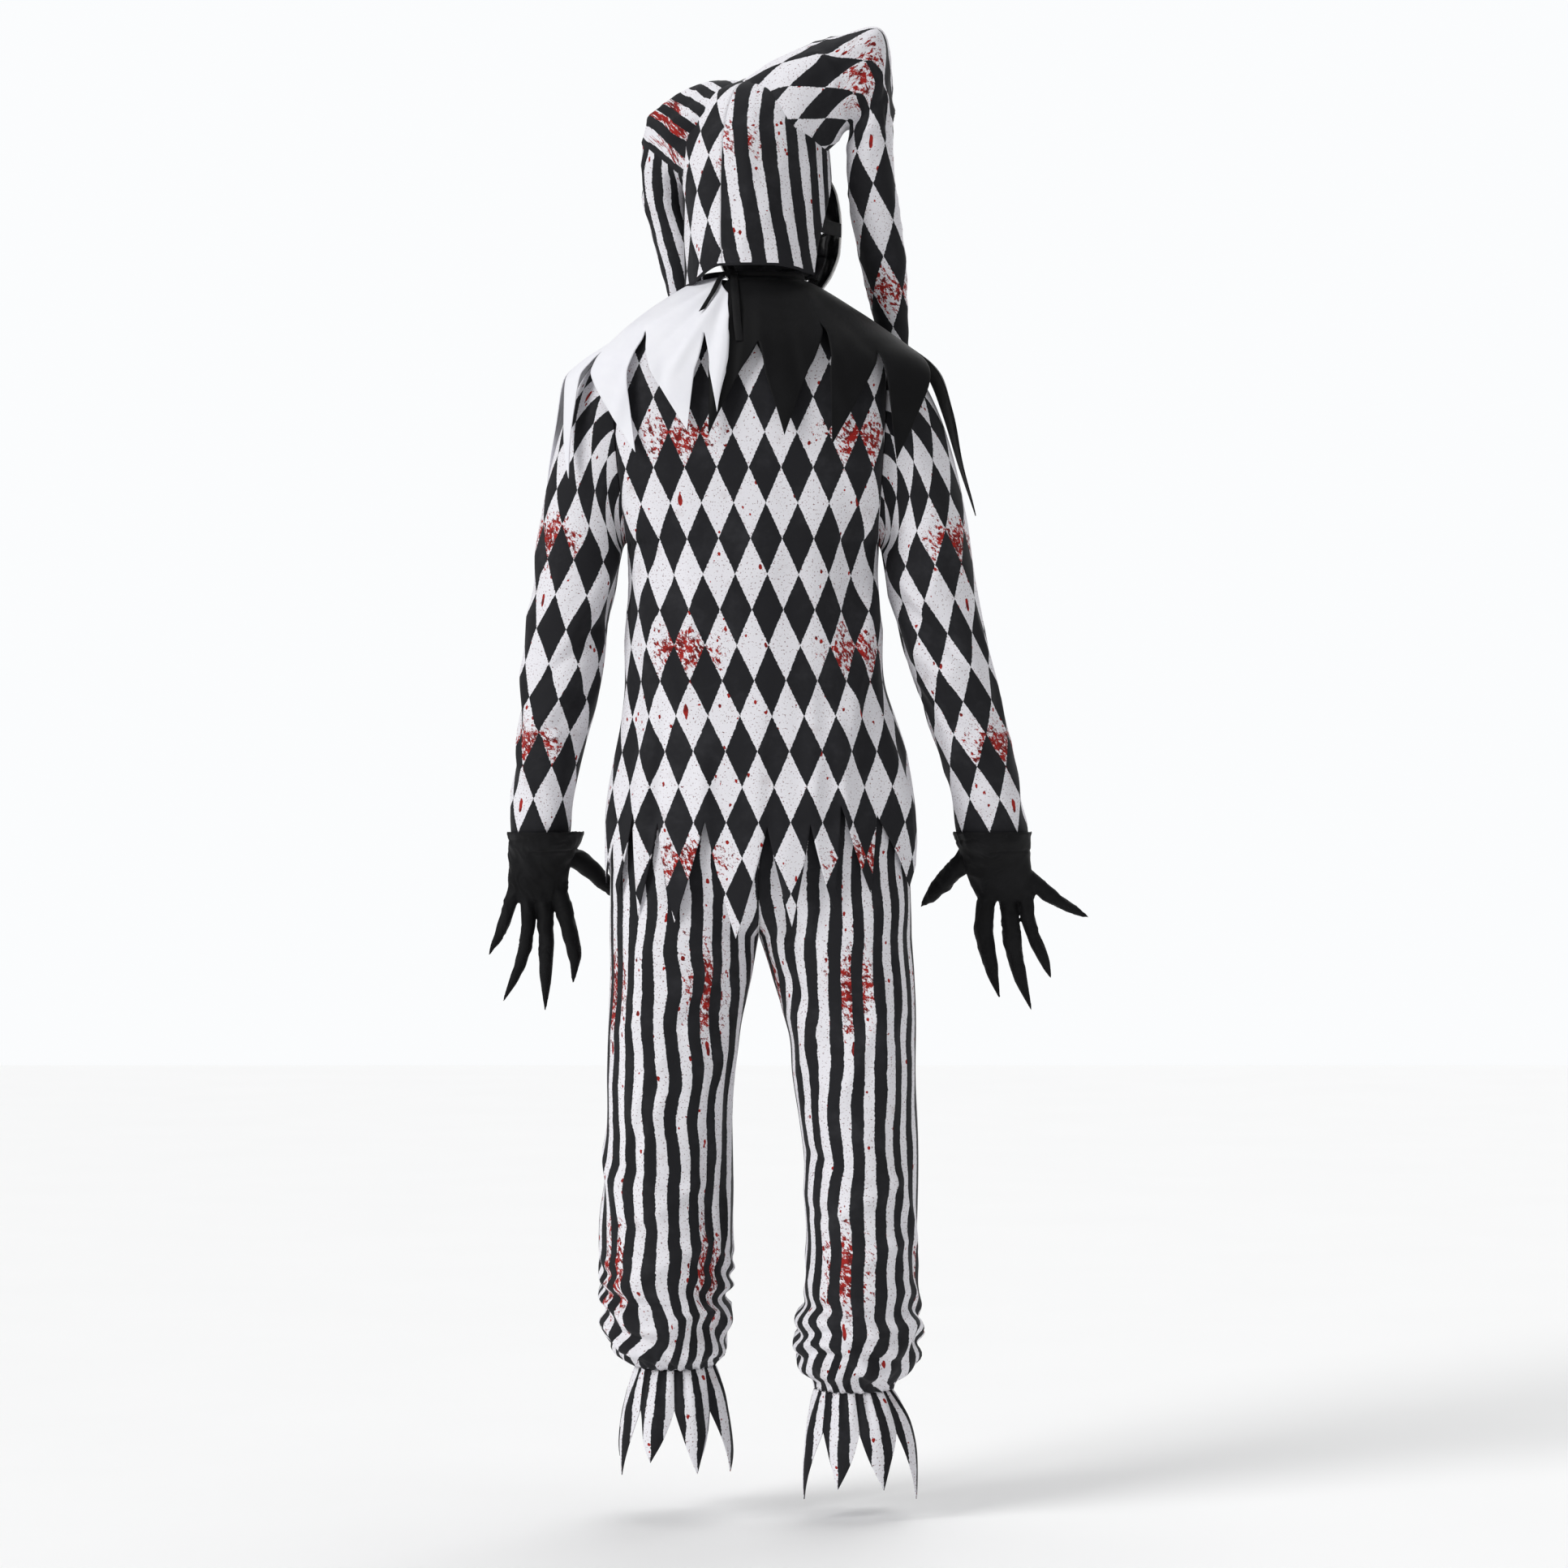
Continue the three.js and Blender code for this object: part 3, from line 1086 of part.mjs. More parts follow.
// A glove's outside or, shrunk, the space inside it, which runs out through the cuff.
function gloveSolid({ palm, fingers }, shrink, rise) {
  const ovals = palm.map(({ x, y, z, wide, deep }, j) =>
    Array.from({ length: 14 }, (_, i) => {
      const turn = (i / 14) * 2 * Math.PI;
      const height = z + (j === 0 ? rise : 0) + (j === palm.length - 1 ? shrink : 0);
      return new THREE.Vector3(
        x + (wide - shrink) * Math.cos(turn),
        y + (deep - shrink) * Math.sin(turn),
        height,
      );
    }),
  );
  return joined([filled(ovals), ...fingers.map((finger) => filled(tubeRows(finger, 6, shrink > 0 ? 3 : 4, shrink)))]);
}

for (const [name, glove] of Object.entries(GLOVES)) {
  const wall = gloveSolid(glove, 0, 0).subtract(gloveSolid(glove, GLOVE_CLOTH, 2));
  piece(`glove_${name}`, fromManifold(wall), gloveCloth);
}

export default costume;
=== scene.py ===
# %% [markdown]
# The looks of the jester costume. A real one is thin printed polyester, cut flat and sewn into panels
# and tubes that hang from the shoulders. Such cloth could be simulated in Blender, but it would fall
# into folds of its own. So each cloth piece is a grid of points on the same form as its CAD solid,
# with soft folds pushed along its normals and a wall made by a Solidify modifier.
# Lengths are millimetres until a mesh is made. +X is the wearer's right, +Y the way the chest faces.

import bpy
import numpy as np
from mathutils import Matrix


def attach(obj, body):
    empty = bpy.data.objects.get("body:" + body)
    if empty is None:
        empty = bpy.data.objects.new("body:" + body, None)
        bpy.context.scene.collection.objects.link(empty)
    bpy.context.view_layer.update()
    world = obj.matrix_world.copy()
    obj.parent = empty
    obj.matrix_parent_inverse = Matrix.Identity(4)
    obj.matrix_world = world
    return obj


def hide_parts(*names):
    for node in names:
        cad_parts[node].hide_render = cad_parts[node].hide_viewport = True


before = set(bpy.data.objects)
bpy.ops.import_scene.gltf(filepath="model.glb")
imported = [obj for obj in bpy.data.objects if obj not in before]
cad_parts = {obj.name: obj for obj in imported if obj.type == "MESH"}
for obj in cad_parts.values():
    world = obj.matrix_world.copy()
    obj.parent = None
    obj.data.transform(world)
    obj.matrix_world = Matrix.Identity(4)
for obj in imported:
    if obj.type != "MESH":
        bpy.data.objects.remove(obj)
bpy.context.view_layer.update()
MM = 0.001
CLOTH = 1.2
SEAM = 0.3

# %% [markdown]
# A garment's outline is smooth, though its sizes are known at a few heights only. Blender's own curve
# objects could carry it, but they would have to be turned into a mesh afterwards. Here a formula reads
# a table of sizes and gives the size at any height, for a whole array of heights at once. The CAD
# solids follow curves of the same kind.


# %% Curves
def smoothstep(x, low, high):
    """0 below low and 1 above high, with a cubic rise between them."""
    t = np.clip((np.asarray(x, float) - low) / (high - low), 0, 1)
    return t * t * (3 - 2 * t)


def bump(x, centre, width):
    """A bell of height 1: e to the power of minus the square of the distance from centre over width."""
    return np.exp(-(((x - centre) / width) ** 2))


def mix(a, b, t):
    return a + (b - a) * t


def curve(rows, column):
    """A monotone cubic through one column of a table against its first column, held level at its ends."""
    x, y = np.array(rows, float)[:, [0, column]].T
    way = np.sign(x[1] - x[0])
    rate = np.diff(y) / np.diff(x)
    before, after = np.r_[rate[:1], rate], np.r_[rate, rate[-1:]]
    both = np.where(before + after == 0, 1, before + after)
    slope = np.where(before * after > 0, 2 * before * after / both, 0)

    def at(value):
        value = np.asarray(value, float)
        i = np.clip(np.searchsorted(way * x, way * value, side="right") - 1, 0, len(x) - 2)
        span = x[i + 1] - x[i]
        t = np.clip((value - x[i]) / span, 0, 1)
        bend = t * (1 - t) ** 2 * slope[i] + t * t * (t - 1) * slope[i + 1]
        return mix(y[i], y[i + 1], t * t * (3 - 2 * t)) + span * bend

    return at


def spline(rows, t):
    """A Catmull-Rom curve through the rows of a table, for t from 0 to 1 along them."""
    rows = np.array(rows, float)
    ends = np.vstack([2 * rows[0] - rows[1], rows, 2 * rows[-1] - rows[-2]])
    at = np.clip(np.asarray(t, float), 0, 1) * (len(rows) - 1)
    k = np.minimum(at.astype(int), len(rows) - 2)
    f = (at - k)[..., None]
    p0, p1, p2, p3 = (ends[k + j] for j in range(4))
    return 0.5 * (
        2 * p1 + (p2 - p0) * f + (2 * p0 - 5 * p1 + 4 * p2 - p3) * f**2 + (3 * p1 - p0 - 3 * p2 + p3) * f**3
    )


print("a curve through 0, 10 and 12, read at its middle row:", float(curve([(0, 0), (1, 10), (2, 12)], 1)(1)))

# %% [markdown]
# The photograph shows the wearer from behind, upright and from a few metres away. A short lens close
# by would make near parts too large, so the camera stands well back with a long lens. It is level
# with the hips and looks straight ahead, which keeps upright lines upright.

# %% Camera
camera = bpy.data.objects.new("camera", bpy.data.cameras.new("camera"))
camera.location = (0.0325, -5.6, -0.647)
camera.rotation_euler = (np.pi / 2, 0, 0)
camera.data.lens = 99
camera.data.sensor_width = 36
bpy.context.collection.objects.link(camera)
bpy.context.scene.camera = camera
print("camera at", [round(x, 3) for x in camera.location], "with a lens of", camera.data.lens, "mm")

# %% [markdown]
# A sewn panel is flat cloth bent into shape, and its print was there before it was cut. Modelled by
# hand, a panel would lose where each of its points lay on the flat cloth. Here it is made of blocks,
# grids of points that know both their place and their place on the cloth. Points in the same place
# become one, and a corner keeps its own cloth place, so that a print runs right up to a seam.


# %% Meshes
def grid_faces(rows, columns):
    """The quads of a grid of points, each as four places in its flat list."""
    index = np.arange(rows * columns).reshape(rows, columns)
    return np.stack([index[:-1, :-1], index[1:, :-1], index[1:, 1:], index[:-1, 1:]], -1).reshape(-1, 4)


def vertex_normals(place, quads):
    """Each point's normal: the sum of the cross products of its quads' diagonals, at length 1."""
    a, b, c, d = (place[quads[:, k]] for k in range(4))
    facing = np.cross(c - a, d - b)
    total = np.zeros_like(place)
    for k in range(4):
        np.add.at(total, quads[:, k], facing)
    return total / np.maximum(np.linalg.norm(total, axis=1, keepdims=True), 1e-9)


def joined_blocks(blocks, core):
    """Points, quads and cloth places of blocks of (points, cloth places), with the faces away from core."""
    place = np.concatenate([p.reshape(-1, 3) for p, _ in blocks])
    cloth = np.concatenate([c.reshape(-1, 2) for _, c in blocks])
    starts = np.cumsum([0] + [p.shape[0] * p.shape[1] for p, _ in blocks[:-1]])
    quads = np.concatenate([grid_faces(*p.shape[:2]) + s for (p, _), s in zip(blocks, starts)])
    corner = cloth[quads]
    _, first, kept = np.unique(np.round(place, 2), axis=0, return_index=True, return_inverse=True)
    place, quads = place[first], kept.reshape(-1)[quads]
    flat = (quads[:, 0] == quads[:, 2]) | (quads[:, 1] == quads[:, 3])
    quads, corner = quads[~flat], corner[~flat]
    a, b, c, d = (place[quads[:, k]] for k in range(4))
    outward = np.sum(np.cross(c - a, d - b) * ((a + c) / 2 - np.asarray(core, float)))
    if outward < 0:
        quads, corner = quads[:, ::-1], corner[:, ::-1]
    return place, quads, corner


def mesh_from(name, place, quads, corner, edge=None):
    """A mesh in metres. A quad that has two corners in one place becomes a triangle."""
    same = quads == np.roll(quads, -1, axis=1)
    faces = quads.tolist()
    keep = ~same
    thin = np.flatnonzero(same.any(axis=1))
    for k in thin:
        faces[k] = quads[k][keep[k]].tolist()
    mesh = bpy.data.meshes.new(name)
    mesh.from_pydata((place * MM).tolist(), [], faces)
    mesh.polygons.foreach_set("use_smooth", np.ones(len(faces), bool))
    mesh.uv_layers.new(name="cloth").data.foreach_set("uv", (corner[keep] * MM).ravel())
    if edge is not None:
        mesh.uv_layers.new(name="edge").data.foreach_set("uv", (edge(place[quads][keep]) * MM).ravel())
    mesh.update()
    return mesh


def put(name, mesh, node):
    """An object on the one body, standing for its CAD node."""
    piece = bpy.data.objects.new(name, mesh)
    bpy.context.collection.objects.link(piece)
    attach(piece, "root")
    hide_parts(node)
    return piece


def add_wall(piece, thick, inside=0):
    """A wall that grows inwards. inside is the step from a face's material to the wall's inner one."""
    wall = piece.modifiers.new("wall", "SOLIDIFY")
    wall.thickness = thick * MM
    wall.offset = -1
    wall.material_offset = inside


def area_of(place, quads):
    """The sum of half the cross product of each quad's diagonals."""
    a, b, c, d = (place[quads[:, k]] for k in range(4))
    return np.linalg.norm(np.cross(c - a, d - b), axis=1).sum() / 2


LEAST_WIDTH, LEAST_SHARE = 0.0101, 0.301


def cloth_piece(node, blocks, core, look, folds=None, thick=CLOTH, edge=None):
    """A cloth piece with a wall: its outer face is the grid, pushed out by folds along its normals."""
    place, quads, corner = joined_blocks(blocks, core)
    flat_area = area_of(place, quads) * MM**2
    if folds is not None:
        place = place + vertex_normals(place, quads) * folds(place)[:, None]
    piece = put(f"cloth_{node}", mesh_from(node, place, quads, corner, edge), node)
    for material in look:
        piece.data.materials.append(material)
    add_wall(piece, thick, len(look) - 1)
    # The area stays between a least share of the flat box and all of it, and the box grows if it must.
    span = np.maximum(np.ptp(corner.reshape(-1, 2), axis=0) * MM, LEAST_WIDTH)
    area = float(np.clip(flat_area, LEAST_SHARE * span[0] * span[1], span[0] * span[1]))
    if flat_area > 1.5 * area:
        span = span * np.sqrt(flat_area / area)
        area = float(flat_area)
    print(f"{node}: {len(quads)} quads, flat {span[0] / MM:.0f} by {span[1] / MM:.0f} mm")
    return piece


def surface(point, u, v, pattern):
    """A block: the points of a surface at each u and v, and their places on the cloth."""
    uu, vv = np.meshgrid(u, v)
    points = point(uu, vv)
    return points, pattern(points, uu, vv)


def arc(points, axis, start):
    """Length along a grid's rows or columns, counted from the line called start."""
    step = np.linalg.norm(np.diff(points, axis=axis), axis=2)
    long = np.concatenate([np.zeros_like(np.take(step, [0], axis)), np.cumsum(step, axis)], axis)
    return long - np.take(long, [start], axis)


print("a grid of 3 by 4 points has", len(grid_faces(3, 4)), "quads")

# %% [markdown]
# Thin polyester hangs in long soft folds and pulls into sharper creases where it is drawn tight. A
# cloth simulation finds folds in places of its own. Here a sum of sine waves in space gives the
# slack, with directions drawn from a seed, so that each run is alike. Named creases, each a soft line
# between two places as seen from behind or in front, give the folds that the photograph shows.


# %% Folds
def waves(place, seed, size, stretch=(1, 1, 1), count=9):
    """A sum of count sine waves whose lengths are near size, in directions drawn with a seed."""
    draw = np.random.default_rng(seed)
    ways = draw.normal(size=(count, 3))
    ways /= np.linalg.norm(ways, axis=1, keepdims=True)
    turns = 2 * np.pi / (size * draw.uniform(0.7, 1.6, count))
    phases = draw.uniform(0, 2 * np.pi, count)
    return np.sin((place * stretch) @ ways.T * turns + phases).sum(axis=1) / np.sqrt(count / 2)


def rumple(place, seed, size, stretch=(1, 1, 1)):
    """Soft ridges: one minus the size of a wave sum whose places are first shifted by another."""
    shifted = place + 0.3 * size * waves(place, seed + 50, 1.7 * size, stretch)[:, None]
    return 1 - np.abs(waves(shifted, seed, size, stretch))


def creases(place, lines, facing=-1):
    """The sum of creases, each a bell across its line that tapers off at both ends.

    A line is x and z of its two ends, its depth and its width. A groove is negative.
    """
    x, z = place[:, 0], place[:, 2]
    total = np.zeros(len(place))
    for x1, z1, x2, z2, depth, width in lines:
        long = np.hypot(x2 - x1, z2 - z1)
        ux, uz = (x2 - x1) / long, (z2 - z1) / long
        along = ((x - x1) * ux + (z - z1) * uz) / long
        aside = (x - x1) * -uz + (z - z1) * ux
        taper = smoothstep(along, -0.12, 0.2) * (1 - smoothstep(along, 0.75, 1.12))
        total += depth * bump(aside, 0, width) * taper
    return total * smoothstep(facing * place[:, 1], 0, 30)


print("waves at three places:", waves(np.eye(3) * 100, 1, 50).round(2))

# %% [markdown]
# The cloth is printed with black diamonds or stripes, with rough ink edges, and a dark red splatter.
# An image could carry such a print, but a formula stays sharp close up and is easy to change. The
# harlequin print is the parity of two sets of slanting lines, and a stripe is a share of a repeat.
# Blood lies in clusters at the repeat of the print, on the white only. A small helper class builds
# each material's nodes, because a formula takes many of them.


# %% Materials
class Graph:
    """A material's nodes. Inputs are sockets or plain values, in the order of the node's sockets."""

    def __init__(self, name, roughness, sheen=0.0, specular=0.4, coat=0.0):
        self.material = bpy.data.materials.new(name)
        self.material.use_nodes = True
        self.tree = self.material.node_tree
        self.shader = next(n for n in self.tree.nodes if n.type == "BSDF_PRINCIPLED")
        self.put(self.shader.inputs["Roughness"], roughness)
        self.put(self.shader.inputs["Specular IOR Level"], specular)
        self.put(self.shader.inputs["Sheen Weight"], sheen)
        self.put(self.shader.inputs["Coat Weight"], coat)

    def put(self, socket, value):
        if isinstance(value, bpy.types.NodeSocket):
            self.tree.links.new(value, socket)
        elif value is not None:
            socket.default_value = value

    def node(self, kind, *values, **settings):
        made = self.tree.nodes.new("ShaderNode" + kind)
        for key, value in settings.items():
            setattr(made, key, value)
        for socket, value in zip(made.inputs, values):
            self.put(socket, value)
        return made

    def math(self, operation, *values):
        return self.node("Math", *values, operation=operation).outputs[0]

    def place(self, layer):
        split = self.node("SeparateXYZ", self.node("UVMap", uv_map=layer).outputs[0])
        return split.outputs[0], split.outputs[1]

    def vector(self, x, y, z=0.0):
        return self.node("CombineXYZ", x, y, z).outputs[0]

    def noise(self, vector, scale, detail=2.0, roughness=0.5):
        made = self.node("TexNoise")
        self.put(made.inputs["Vector"], vector)
        self.put(made.inputs["Scale"], scale)
        self.put(made.inputs["Detail"], detail)
        self.put(made.inputs["Roughness"], roughness)
        return made.outputs[0]

    def centred(self, noise, size):
        return self.math("MULTIPLY", self.math("SUBTRACT", noise, 0.5), size)

    def ramp(self, value, low, high):
        return self.node("MapRange", value, low, high, 0.0, 1.0, interpolation_type="SMOOTHSTEP").outputs[0]

    def blend(self, share, first, second):
        made = self.node("Mix", data_type="RGBA")
        self.put(made.inputs[0], share)
        self.put(made.inputs[6], first)
        self.put(made.inputs[7], second)
        return made.outputs[2]

    def finish(self, colour, height, depth=0.3, distance=0.001):
        self.put(self.shader.inputs["Base Color"], colour)
        bumped = self.node("Bump")
        self.put(bumped.inputs["Strength"], depth)
        self.put(bumped.inputs["Distance"], distance)
        self.put(bumped.inputs["Height"], height)
        self.put(self.shader.inputs["Normal"], bumped.outputs[0])
        return self.material


CHARCOAL = (0.014, 0.014, 0.0165, 1)
INK_WORN = (0.03, 0.03, 0.034, 1)
WHITE = (0.8, 0.79, 0.83, 1)
WARM_GREY = (0.55, 0.5, 0.51, 1)
BLOOD = (0.35, 0.018, 0.014, 1)
BLOOD_DARK = (0.13, 0.01, 0.01, 1)
BODY_REPEAT = (0.231, 0.2705)
LEG_REPEAT = (0.146, 0.362)


def weave(g, u, v, rate=2600.0):
    """Fine crossed threads, with the faint unevenness of a thin cloth."""
    across = g.math("SINE", g.math("MULTIPLY", u, rate))
    down = g.math("SINE", g.math("MULTIPLY", v, rate))
    slack = g.noise(g.vector(u, v), 38.0, 3.0, 0.6)
    threads = g.math("MULTIPLY", g.math("MULTIPLY", across, down), 0.12)
    return g.math("ADD", threads, g.math("MULTIPLY", slack, 1.6))


# One drip hangs below each cluster of blood: how far down it lies, and half its width and height.
DRIP_BELOW, DRIP_HALF = 0.078, (0.0035, 0.012)


def spots(g, field, level, near, pull):
    """1 where a noise field rises above a level, which falls by pull towards the middle of a cluster."""
    limit = g.math("SUBTRACT", level, g.math("MULTIPLY", near, pull))
    return g.ramp(g.math("SUBTRACT", field, limit), 0.0, 0.012)


def blood(g, u, v, middle, repeat, size, skew, strength):
    """Share of blood: dense spatter near the middle of each cluster, thinning out, and round drops beyond."""
    u_slid = g.math("SUBTRACT", u, g.math("MULTIPLY", g.math("SUBTRACT", v, middle[1]), skew))
    off = []
    for value, step, start, reach in zip((u_slid, v), repeat, middle, size):
        part = g.math("FRACT", g.math("ADD", g.math("DIVIDE", g.math("SUBTRACT", value, start), step), 0.5))
        off.append(g.math("MULTIPLY", g.math("SUBTRACT", part, 0.5), step / reach))
    far = g.node("VectorMath", g.vector(*off), operation="LENGTH").outputs["Value"]
    patchy = g.centred(g.noise(g.vector(u, v), 40.0, 3.0), 1.7)
    near = g.math("SUBTRACT", 1.0, g.ramp(g.math("ADD", far, patchy), 0.1, 2.4))
    slanted = g.vector(g.math("ADD", u, g.math("MULTIPLY", v, 0.45)), g.math("MULTIPLY", v, 0.7))
    spatter = g.noise(slanted, 170.0, 5.0, 0.75)
    fine = spots(g, spatter, 0.76, near, strength)
    blots = g.noise(g.vector(u, g.math("MULTIPLY", v, 0.8), 9.0), 95.0, 4.0, 0.62)
    blot = spots(g, blots, 0.83, near, 0.26)
    drops = g.node("TexVoronoi", feature="F1")
    g.put(drops.inputs["Vector"], g.vector(u, g.math("MULTIPLY", v, 0.7), 3.0))
    g.put(drops.inputs["Scale"], 75.0)
    chance = g.noise(g.vector(u, v, 5.0), 31.0, 3.0)
    few = g.math("GREATER_THAN", chance, g.math("SUBTRACT", 0.505, g.math("MULTIPLY", near, 0.2)))
    drop_size = g.math("MULTIPLY", g.noise(g.vector(v, u, 2.0), 160.0, 1.0), 0.3)
    drop = g.math("MULTIPLY", g.math("LESS_THAN", drops.outputs["Distance"], drop_size), few)
    aside = g.math("DIVIDE", off[0], DRIP_HALF[0] / size[0])
    below = g.math("DIVIDE", g.math("ADD", off[1], DRIP_BELOW / size[1]), DRIP_HALF[1] / size[1])
    from_drip = g.node("VectorMath", g.vector(aside, below), operation="LENGTH").outputs["Value"]
    drip_size = g.math("ADD", 0.3, g.noise(g.vector(u, v), 120.0, 2.0))
    drip = g.math("LESS_THAN", from_drip, drip_size)
    return g.math("MAXIMUM", g.math("MAXIMUM", fine, blot), g.math("MAXIMUM", drop, drip))


def printed(
    name, black_of, middle, strength=0.3, repeat=BODY_REPEAT, size=(0.05, 0.034), skew=0.0, edged=False
):
    """Printed polyester: ink where black_of says, worn here and there, and blood and specks on the white."""
    g = Graph(name, 0.75, sheen=0.03, specular=0.14)
    u, v = g.place("cloth")
    cloth = g.vector(u, v)
    rough = g.centred(g.noise(cloth, 330.0, 3.0, 0.6), 0.0034)
    rougher = g.centred(g.noise(g.vector(v, u, 1.0), 300.0, 3.0, 0.6), 0.0034)
    black = black_of(g, u, v, rough, rougher)
    # Warm grey patches fall at random on the white, from slow noise, and darken it here and there.
    grey_patch = g.ramp(g.noise(cloth, 21.0, 5.0, 0.65), 0.56, 0.78)
    white = g.blend(g.math("MULTIPLY", grey_patch, 0.75), WHITE, WARM_GREY)
    speck = g.ramp(g.noise(g.vector(u, v, 2.0), 400.0, 2.0, 0.6), 0.625, 0.655)
    white = g.blend(g.math("MULTIPLY", speck, 0.9), white, BLOOD_DARK)
    dark = g.noise(g.vector(u, v, 7.0), 90.0, 2.0)
    stain = blood(g, u, v, middle, repeat, size, skew, strength)
    white = g.blend(stain, white, g.blend(g.ramp(dark, 0.42, 0.66), BLOOD, BLOOD_DARK))
    ink = g.blend(g.ramp(g.noise(g.vector(u, v, 4.0), 13.0, 4.0, 0.7), 0.45, 0.8), CHARCOAL, INK_WORN)
    colour = g.blend(black, white, ink)
    if edged:
        colour = g.blend(g.math("LESS_THAN", g.place("edge")[0], 0.003), colour, CHARCOAL)
    return g.finish(colour, weave(g, u, v), 0.35)


def diamonds(start_u, start_v, wide=0.041, high=0.09025):
    """Black where the floors of u/wide + v/high and u/wide - v/high add up to an even number."""

    def black(g, u, v, rough, rougher):
        x = g.math("DIVIDE", g.math("ADD", g.math("SUBTRACT", u, start_u), rough), wide)
        z = g.math("DIVIDE", g.math("ADD", g.math("SUBTRACT", v, start_v), rougher), high)
        lines = [g.math("FLOOR", g.math(way, x, z)) for way in ("ADD", "SUBTRACT")]
        return g.math("SUBTRACT", 1.0, g.math("PINGPONG", g.math("ADD", *lines), 1.0))

    return black


def stripes(period, share, start=0.0, waver=0.008):
    """Black where u lies in the first share of each period, with edges that waver slowly along v."""

    def black(g, u, v, rough, rougher):
        slow_place = g.vector(g.math("MULTIPLY", u, 24.0), g.math("MULTIPLY", v, 22.0))
        slow = g.centred(g.noise(slow_place, 1.0, 3.0), waver)
        x = g.math("ADD", g.math("ADD", g.math("SUBTRACT", u, start), rough), slow)
        return g.math("LESS_THAN", g.math("FRACT", g.math("DIVIDE", x, period)), share)

    return black


def plain(name, colour, worn, roughness, sheen, rate=2600.0, depth=0.35):
    """Plain cloth: two near colours in slow patches, and threads."""
    g = Graph(name, roughness, sheen=sheen, specular=0.12)
    u, v = g.place("cloth")
    patch = g.ramp(g.noise(g.vector(u, v), 16.0, 4.0, 0.65), 0.4, 0.75)
    return g.finish(g.blend(patch, colour, worn), weave(g, u, v, rate), depth)


def knit(name):
    """Stretch knit: fine ribs along the hand, in the object's own space."""
    g = Graph(name, 0.6, sheen=0.02, specular=0.12)
    where = g.node("TexCoord").outputs["Object"]
    split = g.node("SeparateXYZ", where)
    rib = g.math("SINE", g.math("MULTIPLY", split.outputs[0], 3800.0))
    loop = g.math("SINE", g.math("MULTIPLY", split.outputs[2], 4600.0))
    threads = g.math("MULTIPLY", g.math("MULTIPLY", rib, loop), 0.2)
    height = g.math("ADD", threads, g.noise(where, 55.0, 4.0, 0.6))
    patch = g.ramp(g.noise(where, 24.0, 3.0), 0.4, 0.7)
    return g.finish(g.blend(patch, (0.0045, 0.0045, 0.005, 1), (0.008, 0.008, 0.009, 1)), height, 0.4)


def moulded(name, colour, worn, roughness, coat):
    """Thin moulded plastic with a faint orange-peel surface and rubbed patches."""
    g = Graph(name, roughness, specular=0.5, coat=coat)
    where = g.node("TexCoord").outputs["Object"]
    patch = g.ramp(g.noise(where, 19.0, 5.0, 0.65), 0.45, 0.75)
    return g.finish(g.blend(patch, colour, worn), g.noise(where, 420.0, 2.0), 0.12)


harlequin_body = printed("harlequin_body", diamonds(-0.001, -0.335), (-0.09, -0.207))
harlequin_sleeve = printed("harlequin_sleeve", diamonds(0.0, 0.012), (0.0, -0.325), 0.31)
harlequin_hood = printed("harlequin_hood", diamonds(0.0, 0.02), (0.05, 0.15), 0.28, edged=True)
harlequin_horn = printed("harlequin_horn", diamonds(0.0, 0.0, 0.043, 0.094), (0.0, 0.12), 0.27)
LEG_BLOOD = {"repeat": LEG_REPEAT, "size": (0.03, 0.062)}
striped_left, striped_right = (
    printed(name, stripes(0.0295, 0.54), middle, 0.31, skew=skew, **LEG_BLOOD)
    for name, middle, skew in (
        ("striped_left_leg", (-0.052, -1.27), -0.041),
        ("striped_right_leg", (0.11, -1.27), 0.03),
    )
)
striped_frill = printed("striped_frill", stripes(0.0255, 0.52), (0.09, 0.1), 0.28)
striped_hood = printed("striped_hood", stripes(0.035, 0.56, 0.003), (0.05, 0.17), 0.24, edged=True)
striped_horn = printed("striped_horn", stripes(0.0245, 0.55), (0.093, -0.083), 0.31, size=(0.036, 0.03))
lining = plain("lining", (0.6, 0.6, 0.64, 1), (0.5, 0.5, 0.54, 1), 0.8, 0.03)
white_cloth = plain("white_cloth", (0.86, 0.86, 0.9, 1), (0.82, 0.82, 0.87, 1), 0.6, 0.05, 3000.0, 0.25)
black_cloth = plain("black_cloth", (0.004, 0.004, 0.0045, 1), (0.006, 0.006, 0.0068, 1), 0.6, 0.02)
black_tape = plain(
    "black_tape", (0.006, 0.006, 0.0065, 1), (0.0095, 0.0095, 0.0105, 1), 0.55, 0.03, 3600.0, 0.6
)
glove_knit = knit("glove_knit")
mask_white = moulded("mask_white", (0.85, 0.84, 0.82, 1), (0.75, 0.73, 0.7, 1), 0.38, 0.15)
mask_black = moulded("mask_black", (0.006, 0.006, 0.007, 1), (0.01, 0.01, 0.011, 1), 0.2, 0.4)
print("materials in the file:", len(bpy.data.materials))

# %% [markdown]
# The neck closes at the back with a flat tape, tied in a knot with two free ends. A bevelled curve
# could make a tape, but its twist is hard to steer. Here an oval is swept along a spline through a
# few points, with its wide way fixed. Each end starts at the knot, lies over the collar and ends bare.

# %% Ties
TIE_WIDE, TIE_THICK = 10, 2.2
TIES = {
    "left": [(-46, -61.6, 9.2), (-52, -74, -3), (-58, -86, -17), (-66, -95, -31.5), (-72, -99, -42)],
    "right": [(-32, -61.3, 8.8), (-31, -82, -10), (-29, -99, -31.5), (-27, -113, -60), (-24, -121, -84)],
}
TIE_SIDEWAYS = {"left": (1, 0.25, 0.5), "right": (1, 0, 0.06)}


def unit(vectors):
    return vectors / np.linalg.norm(vectors, axis=-1, keepdims=True)


